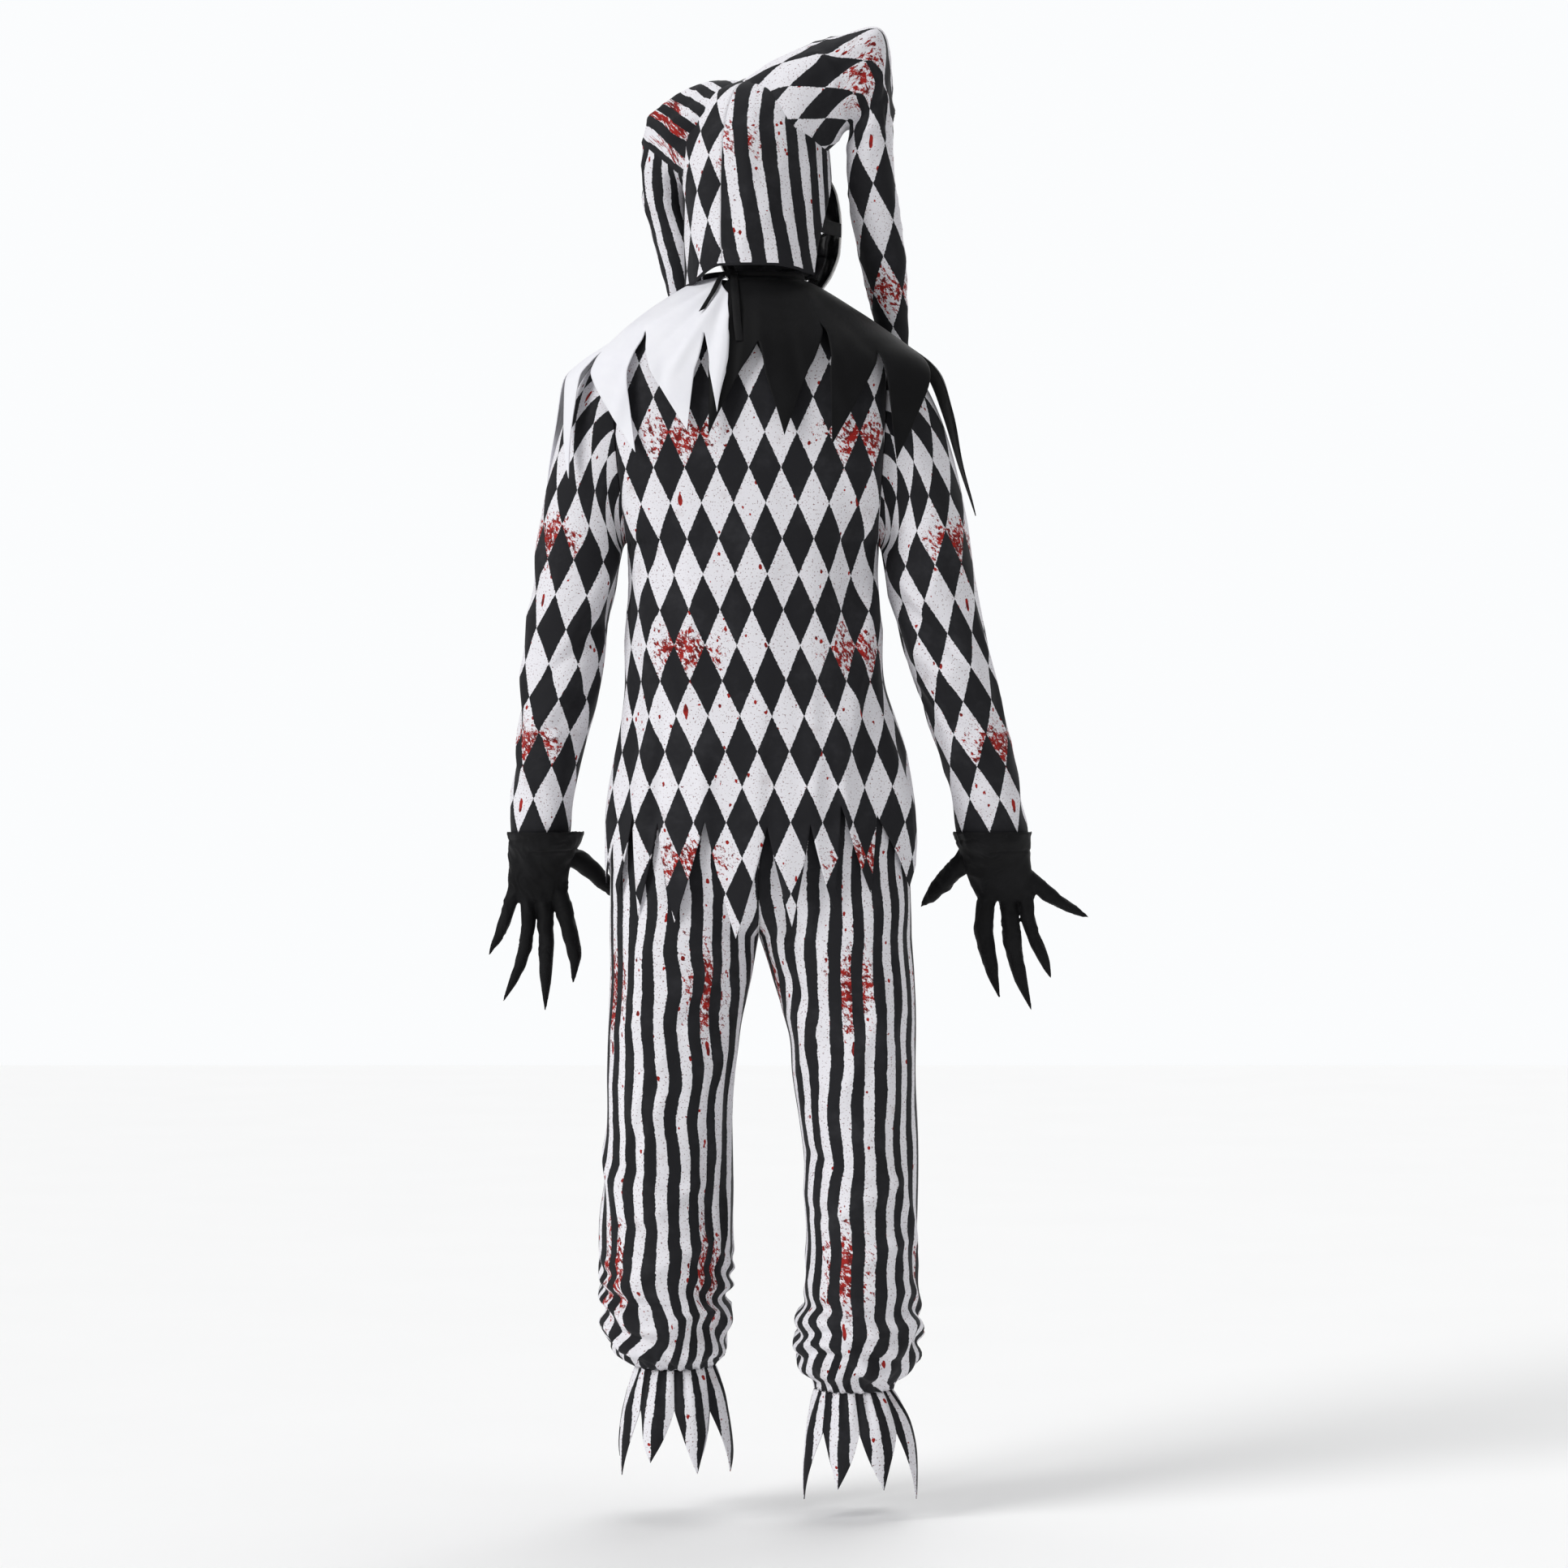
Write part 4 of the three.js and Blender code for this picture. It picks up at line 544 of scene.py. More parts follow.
def ribbon(stations, sideways, steps=60, sides=20):
    """Rows of a flat tape: at each step an oval whose wide way is sideways, closed at both ends."""
    path = spline(stations, np.linspace(0, 1, steps + 1))
    ahead = unit(np.gradient(path, axis=0))
    wide = np.broadcast_to(unit(np.array(sideways, float)), ahead.shape)
    flat = unit(np.cross(ahead, wide))
    turn = np.linspace(0, 2 * np.pi, sides + 1)[None, :, None]
    across = wide[:, None] * np.cos(turn) * TIE_WIDE / 2
    ring = path[:, None] + across + flat[:, None] * np.sin(turn) * TIE_THICK / 2
    ends = [np.repeat(path[k][None, None], sides + 1, axis=1) for k in (0, -1)]
    return np.concatenate([ends[0], ring, ends[1]]), path


for name, stations in TIES.items():
    rows, path = ribbon(stations, TIE_SIDEWAYS[name])
    along = np.stack([arc(rows, 1, 0), arc(rows, 0, 0)], -1)
    place, quads, corner = joined_blocks([(rows, along)], path.mean(axis=0))
    mesh = mesh_from(f"tie_{name}", place, quads, corner)
    tie = put(f"cord_tie_{name}", mesh, f"tie_{name}")
    tie.data.materials.append(black_tape)
    long = np.linalg.norm(np.diff(path, axis=0), axis=1).sum() * MM
    print(f"tie_{name} is {long / MM:.1f} mm long")

KNOT = {"middle": (-37, -56.6, 9.5), "half": (8, 3.8, 5)}
turn, rise = np.meshgrid(np.linspace(0, 2 * np.pi, 65), np.linspace(-np.pi / 2, np.pi / 2, 33))
wrap = 1 - 0.09 * np.abs(np.sin(2.5 * turn + 1.6 * np.sin(rise)))
ball = np.stack([np.cos(turn) * np.cos(rise), np.sin(turn) * np.cos(rise), np.sin(rise)], -1)
ball = ball * wrap[..., None] * KNOT["half"] + KNOT["middle"]
place, quads, corner = joined_blocks([(ball, np.stack([turn * 8, rise * 8], -1))], KNOT["middle"])
knot = put("tape_knot", mesh_from("tie_knot", place, quads, corner), "tie_knot")
knot.data.materials.append(black_tape)
print("knot:", len(place), "points")

# %% [markdown]
# Dags are long points cut into a hem, the mark of a jester's dress. They could be cut out of a panel
# with a boolean, but that leaves uneven faces along the cuts. So such a piece is made tongue by
# tongue. Above the line between its two cuts a tongue runs straight up to the top edge, and below it
# the rows close in to its point.


# %% Dagged cloth
def bezier(a, b, c, t):
    return (1 - t) ** 2 * a + 2 * t * (1 - t) * b + t**2 * c


def tongue_blocks(start, tongues, belly, top_of, top_start, place, pattern, rows, down, step):
    """The blocks of a dagged piece. start is its first cut, a tongue is its point and the cut after it."""
    blocks = []
    left = start
    for number, (s, z, cut_s, cut_z) in enumerate(tongues):
        across = np.linspace(0, 1, max(int(abs(cut_s - left[0]) / step), 4) + 1)[None, :]
        base_s, base_z = mix(left[0], cut_s, across), mix(left[1], cut_z, across)
        top_s = mix(top_start, cut_s, across) if number == 0 else base_s
        share = np.linspace(0, 1, rows + 1)[:, None]
        upper = mix(top_s, base_s, share), mix(top_of(top_s), base_z, share)
        close = np.linspace(0, 1, down + 1)[:, None]
        sides = []
        for (cs, cz), swell in ((left, -belly), ((cut_s, cut_z), belly)):
            sides.append((bezier(cs, (cs + s) / 2 + swell, s, close), bezier(cz, (cz + z) / 2, z, close)))
        lower = [mix(a, b, across) for a, b in zip(*sides)]
        for at_s, at_z in (upper, lower):
            blocks.append((place(at_s, at_z), pattern(at_s, at_z)))
        left = (cut_s, cut_z)
    return blocks


def arc_to(place, s, z, samples=16):
    """Length along the cloth at height z from the middle, s = 0, to s."""
    t = np.linspace(0, 1, samples + 1)
    line = place(s[..., None] * t, np.repeat(z[..., None], samples + 1, axis=-1))
    return np.sign(s) * np.linalg.norm(np.diff(line, axis=-2), axis=-1).sum(axis=-1)


print("half way along a Bezier curve from 0 by way of 1 to 0:", bezier(0, 1, 0, 0.5))

# %% [markdown]
# The tunic is a back and a front panel, joined at the sides, with open armholes and a dagged hem. A
# pulled-out box could stand for it, but a torso's section changes all the way down. So each panel is
# half of an oval whose sizes come from a table of heights, and the oval is squarer below the
# shoulders. The armhole's edge stands where the two panels come apart.

# %% Tunic
SHOULDER_Z, ARMPIT_Z, ARMHOLE_DEPTH, NECK_Z = -74, -336, 75, -10
TORSO = [
    (-10, 90, 70, 66, -6),
    (-29, 116, 85, 79, -8),
    (-55, 155, 99, 92, -9),
    (-74, 175, 108, 101, -11),
    (-118, 175, 118, 110, -11),
    (-205, 172, 128, 121, -11.5),
    (-336, 161, 127, 121, -9),
    (-389, 158, 121, 116, -8),
    (-464, 164, 117, 113, -6.5),
    (-515, 168, 117, 113, -4.5),
    (-565, 177, 121, 115, -2),
    (-615, 188, 127, 119, 0),
    (-693, 198, 133, 125, 1),
    (-850, 198, 139, 129, 1),
]
torso_half, torso_back, torso_front, torso_middle = (curve(TORSO, k) for k in (1, 2, 3, 4))
ARMHOLE_HALF, ARMHOLE_MID = (SHOULDER_Z - ARMPIT_Z) / 2, (SHOULDER_Z + ARMPIT_Z) / 2
BACK_FOLDS = [
    (-63, 9, 6, -330, -720),
    (-36, 9, 4, -540, -800),
    (18, 9, 3.5, -240, -500),
    (54, 9, 6, -270, -740),
]
FRONT_FOLDS = [
    (-54, 9, 6, -340, -740),
    (-18, 9, 4, -520, -800),
    (27, 9, 4, -480, -790),
    (63, 9, 5, -330, -740),
]
HEM_START = (-90, -705)
HEM_DAGS = [
    (-79, -775, -71, -722),
    (-63.5, -794, -53.5, -682),
    (-50.5, -815, -41, -696),
    (-33, -823, -20, -695),
    (-8.5, -843, 3, -701),
    (12, -828, 19, -698),
    (28.5, -805, 31.5, -674),
    (45.5, -785, 50.5, -686),
    (74, -779, 90, -705),
]


def roundness(z):
    return mix(2, 2.35, smoothstep(-z, 20, 110))


def body_point(angle, z, depth, facing, folds):
    """x follows the sine of the angle; y stands out by a power of its cosine from the armhole's edge."""
    turn = np.radians(angle)
    edge = ARMHOLE_DEPTH * np.sqrt(np.maximum(1 - ((z - ARMHOLE_MID) / ARMHOLE_HALF) ** 2, 0))
    reach = np.abs(np.cos(turn)) ** (2 / roundness(z))
    inset = sum(
        deep
        * smoothstep(-z, -top, 90 - top)
        * (1 - smoothstep(-z, -foot - 60, 40 - foot))
        * bump(angle, at, wide)
        for at, wide, deep, top, foot in folds
    )
    x = torso_middle(z) + (torso_half(z) - inset * np.sin(turn) ** 2) * np.sin(turn)
    y = facing * (SEAM / 2 + edge + (depth(z) - edge - inset) * reach)
    return np.stack([x, y, z + 0 * x], -1)


TUNIC_CREASES = [
    (-150, -330, -60, -470, -3, 9),
    (-152, -372, -96, -560, 3, 10),
    (-120, -560, -140, -800, -4, 9),
    (-70, -600, -64, -812, 3.5, 11),
    (22, -520, 10, -830, -3, 10),
    (66, -500, 74, -800, 3, 12),
    (140, -340, 92, -480, -3.5, 9),
    (148, -380, 112, -610, 3.5, 10),
    (128, -590, 150, -780, -4, 10),
    (100, -560, 118, -760, 3, 9),
    (-90, -180, -120, -330, -2.5, 10),
    (92, -180, 118, -330, -2.5, 10),
    (110, -250, 150, -330, 3, 7),
    (-40, -230, 60, -330, 1.6, 14),
    (30, -420, -60, -470, 1.6, 16),
]


def tunic_folds(place):
    tall = (1, 1, 0.35)
    slack = smoothstep(-place[:, 2], 230, 420)
    soft = waves(place, 3, 170, tall) * 2.6 + rumple(place, 4, 120, tall) * 3.0
    back = 1.5 * creases(place, TUNIC_CREASES)
    front = 1.5 * creases(place * [-1, 1, 1], TUNIC_CREASES, 1)
    hem = smoothstep(-place[:, 2], 640, 760)
    calm = (0.2 + 0.8 * slack) * (1 - 0.4 * hem)
    sharp = (back + front) * (0.3 + 0.7 * slack) * (1 - 0.5 * hem)
    folds = soft * calm - 1.2 * (1 - slack) + sharp + 2.5 * hem
    # A soft floor keeps the deepest fold clear of the trousers.
    return 1.5 * np.logaddexp(0, (folds + 2.5) / 1.5) - 2.5


for node, facing, depth, folds in (
    ("tunic_back", -1, torso_back, BACK_FOLDS),
    ("tunic_front", 1, torso_front, FRONT_FOLDS),
):

    def panel(s, z, facing=facing, depth=depth, folds=folds):
        return body_point(-facing * s, z, depth, facing, folds)

    def panel_cloth(s, z, panel=panel):
        return np.stack([arc_to(panel, s, z), z + 0 * s], -1)

    tunic = tongue_blocks(
        HEM_START, HEM_DAGS, 1, lambda s: NECK_Z + 0 * s, HEM_START[0], panel, panel_cloth, 150, 26, 0.9
    )
    cloth_piece(
        node, tunic, (0, facing * 40, -400), (harlequin_body, lining), tunic_folds,
    )

# %% [markdown]
# A sleeve is a tube whose top, the cap, is sewn into the armhole. A plain cylinder would leave a gap
# or cut into the body there. So the cap bends from the armhole ring down to a level oval, and a tube
# of ovals follows the arm below it. The seam lies under the arm, where a print may break.

# %% Sleeves
SLEEVES = {
    "left": [
        (-352, 288, 177, 0, 68),
        (-389, 290, 183, 2, 66),
        (-439, 297, 195, 4, 62),
        (-489, 302, 200, 7, 59),
        (-540, 309, 209, 12, 55),
        (-590, 314, 224, 19, 50),
        (-640, 319, 236, 28, 46),
        (-690, 323, 246, 37, 43),
        (-722, 324.5, 249, 41, 41),
    ],
    "right": [
        (-352, 276, 162, 0, 68),
        (-389, 282, 168, 2, 66),
        (-439, 292, 179.5, 4, 62),
        (-489, 303.5, 193, 7, 59),
        (-540, 315, 210, 12, 55),
        (-590, 325.5, 227, 19, 50),
        (-640, 337, 246, 28, 46),
        (-690, 347.5, 257, 37, 43),
        (-722, 352.5, 260, 41, 41),
    ],
}
SLEEVE_TOP_Z, SLEEVE_END_Z, CAP_SHARE, CAP_INSET, CAP_GAP = -352, -722, 0.34, 2, 0.7


def sleeve_point(rows, side, u, v):
    """The cap is a quadratic Bezier from the armhole ring to the first oval; below it z falls evenly."""
    out, inner, middle_y, deep = (curve(rows, k) for k in (1, 2, 3, 4))
    turn = u * 2 * np.pi

    def oval(z):
        centre, wide = (out(z) + inner(z)) / 2, (out(z) - inner(z)) / 2
        x = side * (centre + wide * np.cos(turn))
        return np.stack([x, middle_y(z) + deep(z) * np.sin(turn), z + 0 * turn], -1)

    z = ARMHOLE_MID + (ARMHOLE_HALF - CAP_INSET) * np.cos(turn)
    ring_x = torso_middle(z) + side * (torso_half(z) + CAP_GAP)
    start = np.stack([ring_x, (ARMHOLE_DEPTH - CAP_INSET) * np.sin(turn), z], -1)
    end = oval(np.full_like(turn, SLEEVE_TOP_Z))
    bend = start + (end - start) * [0.74, 0.5, 0.153]
    cap = bezier(start, bend, end, np.clip(v / CAP_SHARE, 0, 1)[..., None])
    fall = np.clip((v - CAP_SHARE) / (1 - CAP_SHARE), 0, 1)
    return np.where((v > CAP_SHARE)[..., None], oval(mix(SLEEVE_TOP_Z, SLEEVE_END_Z, fall)), cap)


SLEEVE_CREASES = {
    "left": [
        (-185, -430, -286, -520, -3.5, 8),
        (-200, -470, -292, -580, 3, 9),
        (-215, -520, -300, -610, -3, 8),
        (-270, -560, -236, -690, 2.5, 9),
        (-180, -350, -250, -470, 3, 9),
        (-300, -620, -262, -718, -2.5, 8),
    ],
    "right": [
        (170, -400, 272, -500, -3.5, 8),
        (190, -460, 292, -570, 3, 9),
        (216, -540, 318, -620, -3, 8),
        (290, -570, 262, -690, 2.5, 9),
        (166, -350, 230, -450, 3, 9),
        (326, -630, 292, -718, -2.5, 8),
    ],
}

for name, rows in SLEEVES.items():
    side = -1 if name == "left" else 1

    def sleeve_cloth(points, u, v):
        return np.stack([side * arc(points, 1, 36), -arc(points, 0, 0) + arc(points, 0, 0)[-1] - 722], -1)

    def sleeve_folds(place, name=name):
        free = smoothstep(-place[:, 2], 150, 420) * (1 - 0.7 * smoothstep(-place[:, 2], 690, 722))
        soft = waves(place, 8, 120, (1, 1, 0.5)) * 2.0 + rumple(place, 9, 90, (1, 1, 0.5)) * 2.2
        return (soft + 1.4 * creases(place, SLEEVE_CREASES[name])) * free

    # The seam lies under the arm, at u = 0.5, so the tube starts there and the back is a quarter on.
    turns = np.linspace(0.5, 1.5, 97)
    block = surface(lambda u, v: sleeve_point(rows, side, u, v), turns, np.linspace(0, 1, 130), sleeve_cloth)
    look = (harlequin_sleeve, lining)
    cloth_piece(f"sleeve_{name}", [block], (side * 240, 0, -400), look, sleeve_folds)

# %% [markdown]
# The collar is a dagged capelet in two halves, white over black at the back opening. It lies on the
# shoulders and hangs free below them. A cone would be too stiff for it, so its points follow a table
# of ovals. Below the shoulder the sides spread while the back hangs straight.

# %% Collar
CAPELET = [
    (5, 66, 58, 57, -7),
    (0, 80, 69, 66, -9),
    (-8, 95, 77, 73, -9),
    (-29, 128.5, 92, 86, -9),
    (-42, 147.5, 99, 92, -8),
    (-55, 165, 106, 98, -7),
    (-80, 195, 117, 108, -3),
    (-105, 228, 124, 115, -4),
    (-125, 243.5, 128, 119, -7),
    (-162, 251, 133, 125, -7),
    (-212, 260, 137, 130, -7),
    (-305, 281, 140, 133, -6),
]
cape_half, cape_back, cape_front, cape_middle = (curve(CAPELET, k) for k in (1, 2, 3, 4))
SHOULDER_EDGE_Z, OVERLAY = -70, 2.8
WHITE_TONGUES = [
    (13.6, -177, 20.4, -73),
    (24.7, -200, 49.9, -67),
    (43, -226, 70, -92),
    (66.3, -257, 83, -108),
    (99, -262, 112, -84),
    (122, -232, 136, -72),
    (146, -214, 158, -70),
    (168, -205, 180, -76),
]
BLACK_TONGUES = [
    (-17.3, -206, 0.8, -85),
    (12.2, -206, 29, -59),
    (29.8, -217, 50.7, -93),
    (52, -234, 77.6, -90),
    (93, -300, 108, -100),
    (120, -236, 134, -74),
    (145, -214, 158, -70),
    (168, -205, 180, -76),
]


def collar_point(side, s, z, lift):
    """s is 0 at the middle of the back. Below the shoulder the sides spread and the back hangs straight."""
    turn = np.radians(s)
    spread = np.maximum(cape_half(z) / cape_half(SHOULDER_EDGE_Z), 1) ** np.cos(turn) ** 2
    sine = np.sin(turn) / spread
    cosine = np.sign(np.cos(turn)) * np.sqrt(1 - sine**2)
    reach = np.sign(cosine) * np.abs(cosine) ** (2 / (roundness(z) + 0.1))
    depth = np.where(cosine > 0, cape_back(z), cape_front(z))
    raised = lift * (1 - smoothstep(s, 18, 42))
    x = cape_middle(z) + side * (SEAM / 2 + (cape_half(z) + raised) * sine)
    return np.stack([x, -(depth + raised) * reach, z + 0 * x], -1)


COLLAR_CREASES = [
    (-48, -6, -150, -70, 3, 7),
    (-50, -12, -128, -92, -2.2, 6),
    (-46, -16, -112, -130, 3, 7),
    (-42, -20, -84, -170, -2.2, 6),
    (-34, -24, -60, -190, 2.6, 7),
    (-24, -30, -36, -170, -1.6, 6),
    (-60, -2, -190, -60, -2, 8),
    (-150, -90, -196, -230, 3, 9),
    (-120, -110, -134, -220, -2.2, 8),
    (0, -20, 8, -190, 2, 9),
    (30, -20, 62, -200, -2, 9),
    (52, -10, 130, -160, 2.4, 10),
    (70, -14, 170, -120, -2, 9),
    (90, -90, 120, -220, 2, 10),
    (150, -90, 190, -260, -2.4, 9),
]


def collar_folds(place):
    loose = smoothstep(-place[:, 2], 0, 120)
    hang = smoothstep(-place[:, 2], 90, 220)
    flutter = (waves(place, 13, 70, (1, 1, 0.3)) + 1.8) * 2.4 * hang
    soft = waves(place, 12, 130, (1, 1, 0.6)) * 1.2 * loose + flutter
    back = creases(place, COLLAR_CREASES)
    front = creases(place * [-1, 1, 1], COLLAR_CREASES, 1)
    return soft + back + front + 1.0 + 2.0 * loose


for name, side, lift, start, top_s, tongues, top_line in (
    ("white", -1, OVERLAY, (10.4, -126), 10.4, WHITE_TONGUES, ([10.4, 14.4, 24, 30], [-52, -20, -6, 5])),
    ("black", 1, 0, (-17.5, -126), -22, BLACK_TONGUES, ([-30, 180], [5, 5])),
):

    def cape(s, z, side=side, lift=lift):
        return collar_point(side, s, z, lift)

    def cape_cloth(s, z, cape=cape):
        return np.stack([arc_to(cape, s, z, 24), z + 0 * s], -1)

    half = tongue_blocks(
        start, tongues, -0.6, lambda s: np.interp(s, *top_line), top_s, cape, cape_cloth, 44, 44, 1.0
    )
    material = white_cloth if name == "white" else black_cloth
    middle = (side * 60, 0, -90)
    cloth_piece(f"collar_{name}", half, middle, (material,), collar_folds)

# %% [markdown]
# The neck binding, the waistband and the mask's strap are narrow bands. A torus could stand for one,
# but a band's section is flat. So each is a level ring between a low and a high edge with a slight
# crown, and the waistband has the small ruffles that elastic gives.


# %% Bands
def band(u, low, high, ring, rows=9):
    """A band from its ring, which gives x and y for each u, and its low and high edges."""
    x, y = ring(u)
    z = np.linspace(high, low, rows)[:, None]
    points = np.stack(np.broadcast_arrays(x[None], y[None], z), -1)
    return points, np.stack([arc(points, 1, 0), points[..., 2]], -1)


def binding_ring(u):
    turn = np.radians(mix(34, 382, u))
    return -7 - 66 * np.sin(turn), -57.5 * np.cos(turn)


cloth_piece(
    "neck_binding",
    [band(np.linspace(0, 1, 181), 5.4, 13, binding_ring)],
    (-7, 0, 9),
    (black_tape,),
    lambda place: 0.5 * bump(place[:, 2], 9.2, 2.4),
    thick=1.8,
)


def waist_ring(u):
    return 146 * np.cos(u * 2 * np.pi), 102 * np.sin(u * 2 * np.pi)


cloth_piece(
    "waistband",
    [band(np.linspace(0, 1, 481), -449.7, -420, waist_ring, 17)],
    (0, 0, -435),
    (striped_left, lining),
    lambda place: 0.9 * np.sin(np.arctan2(place[:, 1], place[:, 0]) * 66) * bump(place[:, 2], -436, 11) + 0.6,
    thick=3,
)

# %% [markdown]
# The trousers are four panels, a back and a front for each leg. Two plain tubes would not join at the
# seat. So a panel is a quarter of an oval at the seat and half of an oval at the leg, and its seam
# turns under at the fork between them. Folds stack up above the ankle, where the cloth is gathered.

# %% Trousers
LEGS = {
    "left": [
        (-845, 193.5, 0.5, -10, 104),
        (-892, 193, 11, -9, 95),
        (-943, 194, 24, -8, 89),
        (-993, 194.5, 29, -8, 85),
        (-1044, 196, 35, -8, 81),
        (-1094, 199.5, 38, -8, 78),
        (-1145, 201.6, 39, -8, 76),
        (-1195, 204, 38, -9, 77),
        (-1245, 205, 38, -11, 79),
        (-1296, 203, 42, -13, 80),
        (-1321, 200.5, 45, -14, 79),
        (-1346, 199, 38, -15, 84),
        (-1372, 195, 40, -14, 82),
        (-1389, 178, 50, -10, 68),
        (-1400, 160, 58, -7, 54),
    ],
    "right": [
        (-845, 198, 0.5, -10, 104),
        (-892, 200.5, 17, -9, 95),
        (-943, 201.6, 33.6, -8, 89),
        (-993, 201.6, 41, -8, 85),
        (-1044, 202, 48, -8, 81),
        (-1094, 202.6, 53.5, -8, 78),
        (-1145, 202.8, 57.8, -8, 75),
        (-1195, 202.8, 58.8, -9, 75),
        (-1245, 201.8, 60.5, -11, 77),
        (-1296, 202.6, 58.8, -13, 79),
        (-1321, 202.8, 52.5, -14, 81),
        (-1346, 205.8, 48, -15, 84),
        (-1378, 206, 47, -15, 84),
        (-1404, 192, 55, -11, 72),
        (-1420, 177, 69, -8, 57),
        (-1430, 174, 73, -6, 53),
    ],
}
SEAT = [
    (-450, 146, 146, 104, 100),
    (-520, 157, 158, 108, 104),
    (-600, 174, 177, 114, 107),
    (-690, 192, 194, 124, 115.6),
    (-760, 192, 194.5, 127, 116),
    (-815, 192, 195, 127, 111),
    (-845, 193.5, 198, 128, 110),
]
WAIST_Z, CROTCH_Z, FORK_Z = -450, -845, -715


def leg_point(name, facing, u, z):
    """The seat's quarter oval turns into a leg's half oval.

    u is 0 at the middle seam or inseam and 1 at the side.
    """
    side = -1 if name == "left" else 1
    out, inner, middle_y, deep = (curve(LEGS[name], k) for k in (1, 2, 3, 4))
    low = np.minimum(z, CROTCH_Z)
    turn = u * np.pi
    centre, wide = (out(low) + inner(low)) / 2, (out(low) - inner(low)) / 2
    oval_x = centre - wide * np.cos(turn)
    oval_y = middle_y(low) * np.sin(turn) + facing * deep(low) * np.abs(np.sin(turn)) ** 0.85
    drop = np.clip((FORK_Z - z) / (FORK_Z - CROTCH_Z), 0, 1)
    fork = mix(1 - np.sqrt(1 - drop**2), smoothstep(drop, 0, 1), smoothstep(u, 0, 0.45))
    seat_x = curve(SEAT, 1 if name == "left" else 2)(z) * np.sin(turn / 2)
    seat_y = facing * curve(SEAT, 3 if facing < 0 else 4)(z) * np.abs(np.cos(turn / 2)) ** 0.87
    x = side * (mix(seat_x, oval_x, fork) + SEAM / 2)
    return np.stack([x, mix(seat_y, oval_y, fork) + facing * SEAM / 2, z + 0 * x], -1)


LEG_CREASES = [
    (-190, -1130, -70, -1180, -3, 9),
    (-60, -1150, -160, -1215, 3.5, 10),
    (-188, -1210, -90, -1235, -3, 9),
    (-50, -1230, -150, -1275, 3, 10),
    (-30, -880, -120, -980, -3, 12),
    (-16, -870, -60, -1030, 3, 10),
    (-150, -880, -172, -1100, 2.5, 14),
    (26, -880, 110, -990, -3, 12),
    (60, -1120, 180, -1170, -3, 9),
    (190, -1150, 90, -1210, 3.5, 10),
    (66, -1195, 170, -1235, -3, 9),
    (196, -1230, 100, -1275, 3, 10),
    (150, -880, 176, -1100, 2.5, 14),
    (60, -1020, 80, -1190, -2.5, 12),
    (-100, -960, -110, -1130, -2, 13),
    (-188, -1310, -80, -1326, -4, 7),
    (-46, -1322, -150, -1346, 4, 7),
    (-190, -1352, -90, -1362, -4, 6),
    (56, -1316, 160, -1332, -4, 7),
    (200, -1340, 90, -1362, 4.5, 8),
    (60, -1372, 180, -1388, -4, 6),
    (190, -1396, 80, -1404, 3, 6),
]


def leg_folds(name):
    end = -1400 if name == "left" else -1430

    def folds(place):
        """Slack down the leg, folds stacked above the gather and pleats that fade upwards from it."""
        z = place[:, 2]
        hang = smoothstep(-z, 800, 980)
        soft = waves(place, 21, 150, (1, 1, 0.35)) * 2.4 + rumple(place, 22, 110, (1, 1, 0.45)) * 2.6
        above = z - end
        low = smoothstep(above, 0, 30) * (1 - smoothstep(above, 80, 170))
        stack = np.sin((z + 0.22 * place[:, 0] + 14 * waves(place, 23, 110)) * 2 * np.pi / 44) * 5 * low
        middle = (curve(LEGS[name], 1)(z) + curve(LEGS[name], 2)(z)) / 2 * (-1 if name == "left" else 1)
        angle = np.arctan2(place[:, 1] + 8, place[:, 0] - middle)
        pleats = np.sin(angle * 26 + 2 * waves(place, 24, 60)) * 1.6 * (1 - smoothstep(above, 4, 46))
        seams = 1.5 * (creases(place, LEG_CREASES) + creases(place, LEG_CREASES, 1))
        return soft * hang * smoothstep(above, 0, 60) + stack + pleats + seams * smoothstep(above, 0, 20)

    return folds


for name in ("left", "right"):
    end = LEGS[name][-1][0]
    heights = np.linspace(WAIST_Z, end, 261)
    for word, facing in (("back", -1), ("front", 1)):

        def leg_cloth(points, u, v, name=name):
            side = -1 if name == "left" else 1
            middle = np.abs(points[:, 32:33, 0])
            low = 1 - smoothstep(v, end + 10, end + 120)
            drift = waves(points.reshape(-1, 3), 25, 110, (1, 1, 0.8)).reshape(v.shape) * (2 + 6 * low)
            return np.stack([side * (arc(points, 1, 32) + middle) + drift, v], -1)

        block = surface(
            lambda u, v: leg_point(name, facing, u, v), np.linspace(0, 1, 65), heights, leg_cloth
        )
        middle = (-100 if name == "left" else 100, 0, -1000)
        look = (striped_left if name == "left" else striped_right, lining)
        cloth_piece(f"trousers_{name}_{word}", [block], middle, look, leg_folds(name))

# %% [markdown]
# Below the gather the cloth flares and ends in eight long points. A cone with cuts in it would have
# no flutes. So one formula sets the radius with its flutes and pleats all the way round, and a saw
# wave sets how far down each place reaches.

# %% Frills
FRILLS = {"left": (-109, -1400, 50.5, 74, 1), "right": (123.5, -1430, 50.5, 76, 8)}
DAGS, FRILL_CUT, FRILL_DAG, FRILL_DROP, FRILL_ROUND = 8, 52, 78, 130, 408


